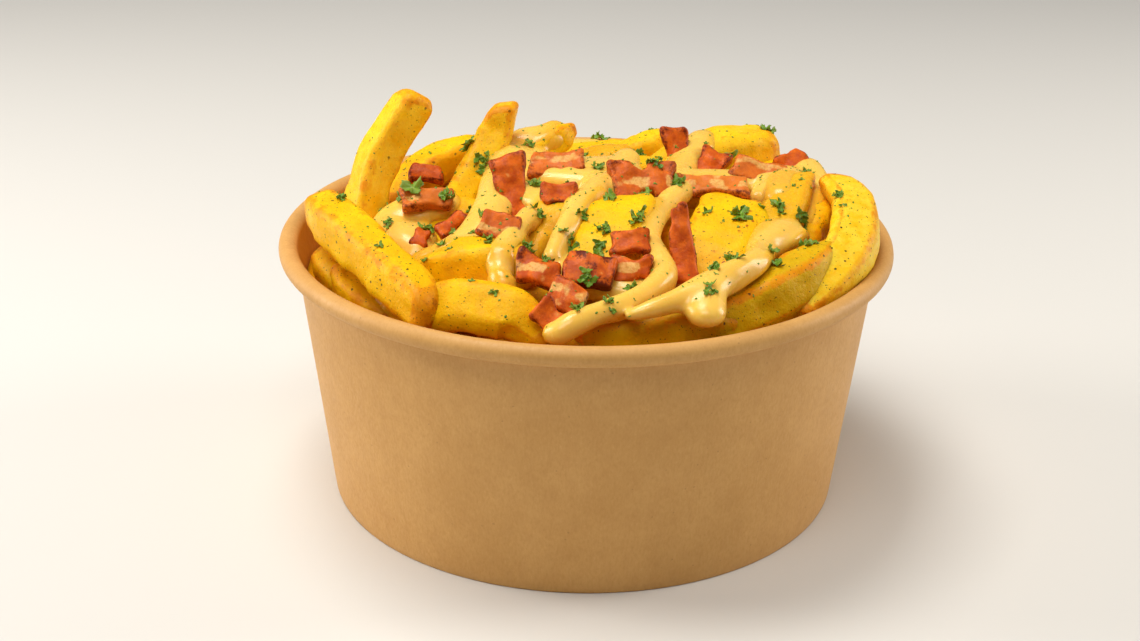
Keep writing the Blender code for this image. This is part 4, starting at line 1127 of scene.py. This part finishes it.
def leaf_shape(rng, size):
    """A torn curly bit of leaf: toothed lobes, cupped and crinkled, 0.16 mm thick."""
    lobes = int(rng.integers(2, 5))
    around = 26 if size > 1.6 else 12
    ang = 2 * math.pi * np.arange(around) / around
    ph = rng.uniform(0, 6.28, 6)
    outline = np.full(around, 0.52)
    for k in range(lobes):
        at = 2 * math.pi * (k + rng.uniform(-0.22, 0.22)) / lobes
        d = np.abs((ang - at + math.pi) % (2 * math.pi) - math.pi)
        reach = rng.uniform(0.72, 1.1)
        outline = np.maximum(outline, reach * (1 - 0.6 * smoothstep(0.15, rng.uniform(0.75, 1.1), d)))
    outline = outline * (1 + 0.12 * np.sin(ang * lobes * 3 + ph[5]) + rng.uniform(-0.06, 0.06, around))
    stretch = rng.uniform(0.62, 0.95)
    levels = [0.0, 0.28, 0.55, 0.8, 1.0]
    cup = rng.uniform(0.2, 1.1)
    pts = []
    for lv in levels[1:]:
        x, y = outline * lv * np.cos(ang), outline * lv * np.sin(ang) * stretch
        z = cup * (x * x + y * y) * 0.55 + 0.20 * lv * np.sin(ang * lobes + ph[0]) + 0.13 * lv * lv * np.sin(ang * (lobes * 2 + 1) + ph[1])
        z = z + 0.35 * np.sin(x * 2.2 + ph[2]) * 0.4
        pts.append(np.stack([x, y, z], 1))
    top = np.concatenate([[[0, 0, 0.35 * math.sin(ph[2]) * 0.4]]] + pts)
    top = top * size / 2
    bottom = top.copy()
    bottom[:, 2] -= 0.16
    n = len(top)
    v = np.vstack([top, bottom])
    quads, tris = [], []
    r1 = 1 + np.arange(around)
    tris.append(np.stack([np.zeros(around, int), r1, np.roll(r1, -1)], -1))
    tris.append(np.stack([np.full(around, n), n + np.roll(r1, -1), n + r1], -1))
    for k in range(len(levels) - 2):
        a = 1 + k * around + np.arange(around)
        b = a + around
        quads.append(np.stack([a, b, np.roll(b, -1), np.roll(a, -1)], -1))
        quads.append(np.stack([n + a, n + np.roll(a, -1), n + np.roll(b, -1), n + b], -1))
    rim = 1 + (len(levels) - 2) * around + np.arange(around)
    quads.append(np.stack([rim, n + rim, n + np.roll(rim, -1), np.roll(rim, -1)], -1))
    tip = np.concatenate([[0]] + [np.full(around, lv) for lv in levels[1:]])
    return v, np.concatenate(quads), np.concatenate(tris), dict(tip=np.concatenate([tip, tip]), rnd=rng.random())


def flake_shape(rng, size):
    """A fleck of dried herb: an uneven five-sided chip."""
    n = 5
    ang = 2 * math.pi * (np.arange(n) + rng.uniform(-0.3, 0.3, n)) / n
    rad = size / 2 * rng.uniform(0.7, 1.15, n)
    ring = np.stack([rad * np.cos(ang), rad * np.sin(ang) * rng.uniform(0.4, 0.9)], 1)
    top = np.column_stack([ring, np.full(n, 0.07)])
    bottom = np.column_stack([ring, np.full(n, -0.07)])
    v = np.vstack([top, bottom, [[0, 0, 0.09]], [[0, 0, -0.07]]])
    i = np.arange(n)
    j = (i + 1) % n
    tris = np.concatenate([np.stack([np.full(n, 2 * n), i, j], -1), np.stack([np.full(n, 2 * n + 1), n + j, n + i], -1)])
    quads = np.stack([i, n + i, n + j, j], -1)
    return v, quads, tris, dict(tip=np.full(len(v), 0.9), rnd=rng.random() * 0.4)


# plan position (x, y) in mm and size across of each larger bit
PARSLEY = []
for x, y, size in [(-29.5, 17.5, 6.5), (-25, 11, 5.5), (-43, 14, 5), (-48, 2, 4.5), (-42, -4.5, 6.5), (-33, -8, 5), (-38, -14, 4),
                   (-31, -24.5, 4.2), (-24, -22, 3.2), (-22, -36, 4.2), (-47, -13, 3.6), (-27, -7, 4), (-12, -8, 5), (-5, -7.5, 5.4),
                   (-14, 20, 3.4), (-1, 22, 5.5), (3, 1, 3.4), (12, 30, 4.6), (14, 26, 4.6), (17, -3, 5), (22, -6, 5.2), (14, -14, 4.4),
                   (6, -18, 4.2), (-1, -25, 4), (4, -30, 3.8), (3, -35, 4.4), (12, -28, 4.6), (-4, -33, 4.4), (-13, -38, 4.2), (-11, -22, 3.6),
                   (-9, -45, 4), (0, -51, 4), (10, -52, 4.6), (23, -29, 4.4), (36, -20, 6.2), (29, -18, 3), (46, -13, 5.5), (51, -15, 4.6),
                   (36, 22, 7), (39, 18, 4.4), (42, -38, 4.6), (28, -50, 3.6), (33, -45, 4), (51, -30, 4.4), (60, -12, 3.4), (-2, -62, 3.6),
                   (5, -60, 3.4), (27, -58, 3.4), (-33, -32, 3.2), (-57, -20, 3.8), (-46, -42, 2.8), (-20, -56, 2.6), (-5, -12, 3.6),
                   (-35, 45, 5), (-15, 47, 4.5), (5, 54, 5), (28, 50, 5), (48, 36, 4.5), (-50, 33, 4), (20, 60, 4), (-6, 59, 4), (55, 10, 4)]:
    PARSLEY.append((x, y, size))
tree = drop_tree([o for o in bpy.data.objects if o.type == "MESH" and o.name.startswith(("fries", "cheese_sauce", "torn_"))
                  and o not in frame["nodes"].values() and o.name in ("fries", "cheese_sauce") or o.name.startswith("torn_")])


def place(pile, rng, x, y, shape, sink=0.1, tilt=0.35):
    hit, normal, _, _ = tree.ray_cast(Vector((x, y, 140)), Vector((0, 0, -1)))
    if hit is None or hit.z > 85.5:
        return
    n = np.array(normal)
    if n[2] < 0:
        n = -n
    n = n + rng.uniform(-tilt, tilt, 3)
    n /= np.linalg.norm(n)
    a = rng.uniform(0, 2 * math.pi)
    ref = np.array([math.cos(a), math.sin(a), 0])
    u = ref - n * (ref @ n)
    u /= np.linalg.norm(u)
    w = np.cross(n, u)
    v, q, t, at = shape
    v = np.array(hit) + n * sink + v[:, :1] * u + v[:, 1:2] * w + v[:, 2:] * n
    pile.add(v, q, t, at)


rng = np.random.default_rng(77)
leaves = Pile()
for x, y, size in PARSLEY:
    size *= 1.12
    if size < 2.6:
        place(leaves, rng, x, y, leaf_shape(rng, size), 0.25, 0.5)
        continue
    count = 2 if size < 3.6 else 4
    for part in range(count):
        a = 2 * math.pi * part / count + rng.uniform(-0.5, 0.5)
        off = size * rng.uniform(0.14, 0.36) if part else 0
        place(leaves, rng, x + off * math.cos(a), y + off * math.sin(a), leaf_shape(rng, size * rng.uniform(0.55, 0.85)), 0.25 + 0.18 * (part % 3), 0.6)
# small stray bits
for k in range(230):
    r = 65 * math.sqrt(rng.random())
    a = rng.uniform(0, 2 * math.pi)
    size = rng.uniform(0.5, 1.0) if k % 3 else rng.uniform(1.0, 2.2)
    place(leaves, rng, r * math.cos(a), r * math.sin(a), leaf_shape(rng, size), 0.08, 0.3)
for k in range(700):
    r = 66 * math.sqrt(rng.random())
    a = rng.uniform(0, 2 * math.pi)
    place(leaves, rng, r * math.cos(a), r * math.sin(a), flake_shape(rng, rng.uniform(0.3, 0.85)), 0.04, 0.3)
parsley = leaves.make("parsley", MAT_LEAF)
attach(parsley, "root")

# ---------------------------------------------------------------- floor, light, camera
floor_mesh = bpy.data.meshes.new("floor")
floor_mesh.from_pydata([(-3, -3, 0), (3, -3, 0), (3, 3, 0), (-3, 3, 0)], [], [(0, 1, 2, 3)])
floor = bpy.data.objects.new("floor", floor_mesh)
floor.location.z = min(0.0, CAD_BOX[0][2]) - 0.00005
bpy.context.scene.collection.objects.link(floor)
ground = Nodes("floor_paint")
ground.shader.inputs["Base Color"].default_value = (0.72, 0.71, 0.69, 1)
ground.shader.inputs["Roughness"].default_value = 0.6
floor_mesh.materials.append(ground.mat)

scene = bpy.context.scene
scene.view_settings.view_transform = "Standard"
scene.view_settings.look = "None"
scene.view_settings.exposure = 0.0

world = bpy.data.worlds.new("studio")
scene.world = world
world.use_nodes = True
world.node_tree.nodes["Background"].inputs["Color"].default_value = (1.0, 0.98, 0.95, 1)
world.node_tree.nodes["Background"].inputs["Strength"].default_value = 0.16


def soft_light(name, where, aim, size, power, colour=(1, 1, 1)):
    light = bpy.data.lights.new(name, "AREA")
    light.shape = "RECTANGLE"
    light.size, light.size_y = size
    light.energy = power
    light.color = colour
    obj = bpy.data.objects.new(name, light)
    obj.location = where
    obj.rotation_euler = (Vector(aim) - Vector(where)).to_track_quat("-Z", "Y").to_euler()
    scene.collection.objects.link(obj)
    return obj


WARM = (1.0, 0.955, 0.88)
soft_light("top", (-0.16, 0.06, 0.78), (0, 0, 0.06), (0.38, 0.32), 4.1, WARM)
soft_light("left", (-0.72, 0.10, 0.30), (0, 0, 0.05), (0.30, 0.5), 3.9, WARM)
soft_light("right", (0.72, 0.16, 0.28), (0, 0, 0.05), (0.28, 0.5), 3.2, WARM)
soft_light("front", (-0.12, -0.48, 0.84), (0, -0.02, 0.07), (0.5, 0.35), 3.2, WARM)

# camera at the photograph's angle
R = Vector((0.99994655, 0.00407584, 0.00950187))
U = Vector((-0.01033915, 0.39419353, 0.91896929))
B = R.cross(U)
camera_data = bpy.data.cameras.new("view")
camera_data.sensor_width = 36.0
camera_data.lens = 1835.0 / 1140.0 * 36.0
camera_data.clip_start = 0.01
camera_data.clip_end = 10
camera = bpy.data.objects.new("view", camera_data)
camera.matrix_world = Matrix(((R.x, U.x, B.x, -0.00372), (R.y, U.y, B.y, -0.42422), (R.z, U.z, B.z, 0.22258), (0, 0, 0, 1)))
scene.collection.objects.link(camera)
scene.camera = camera
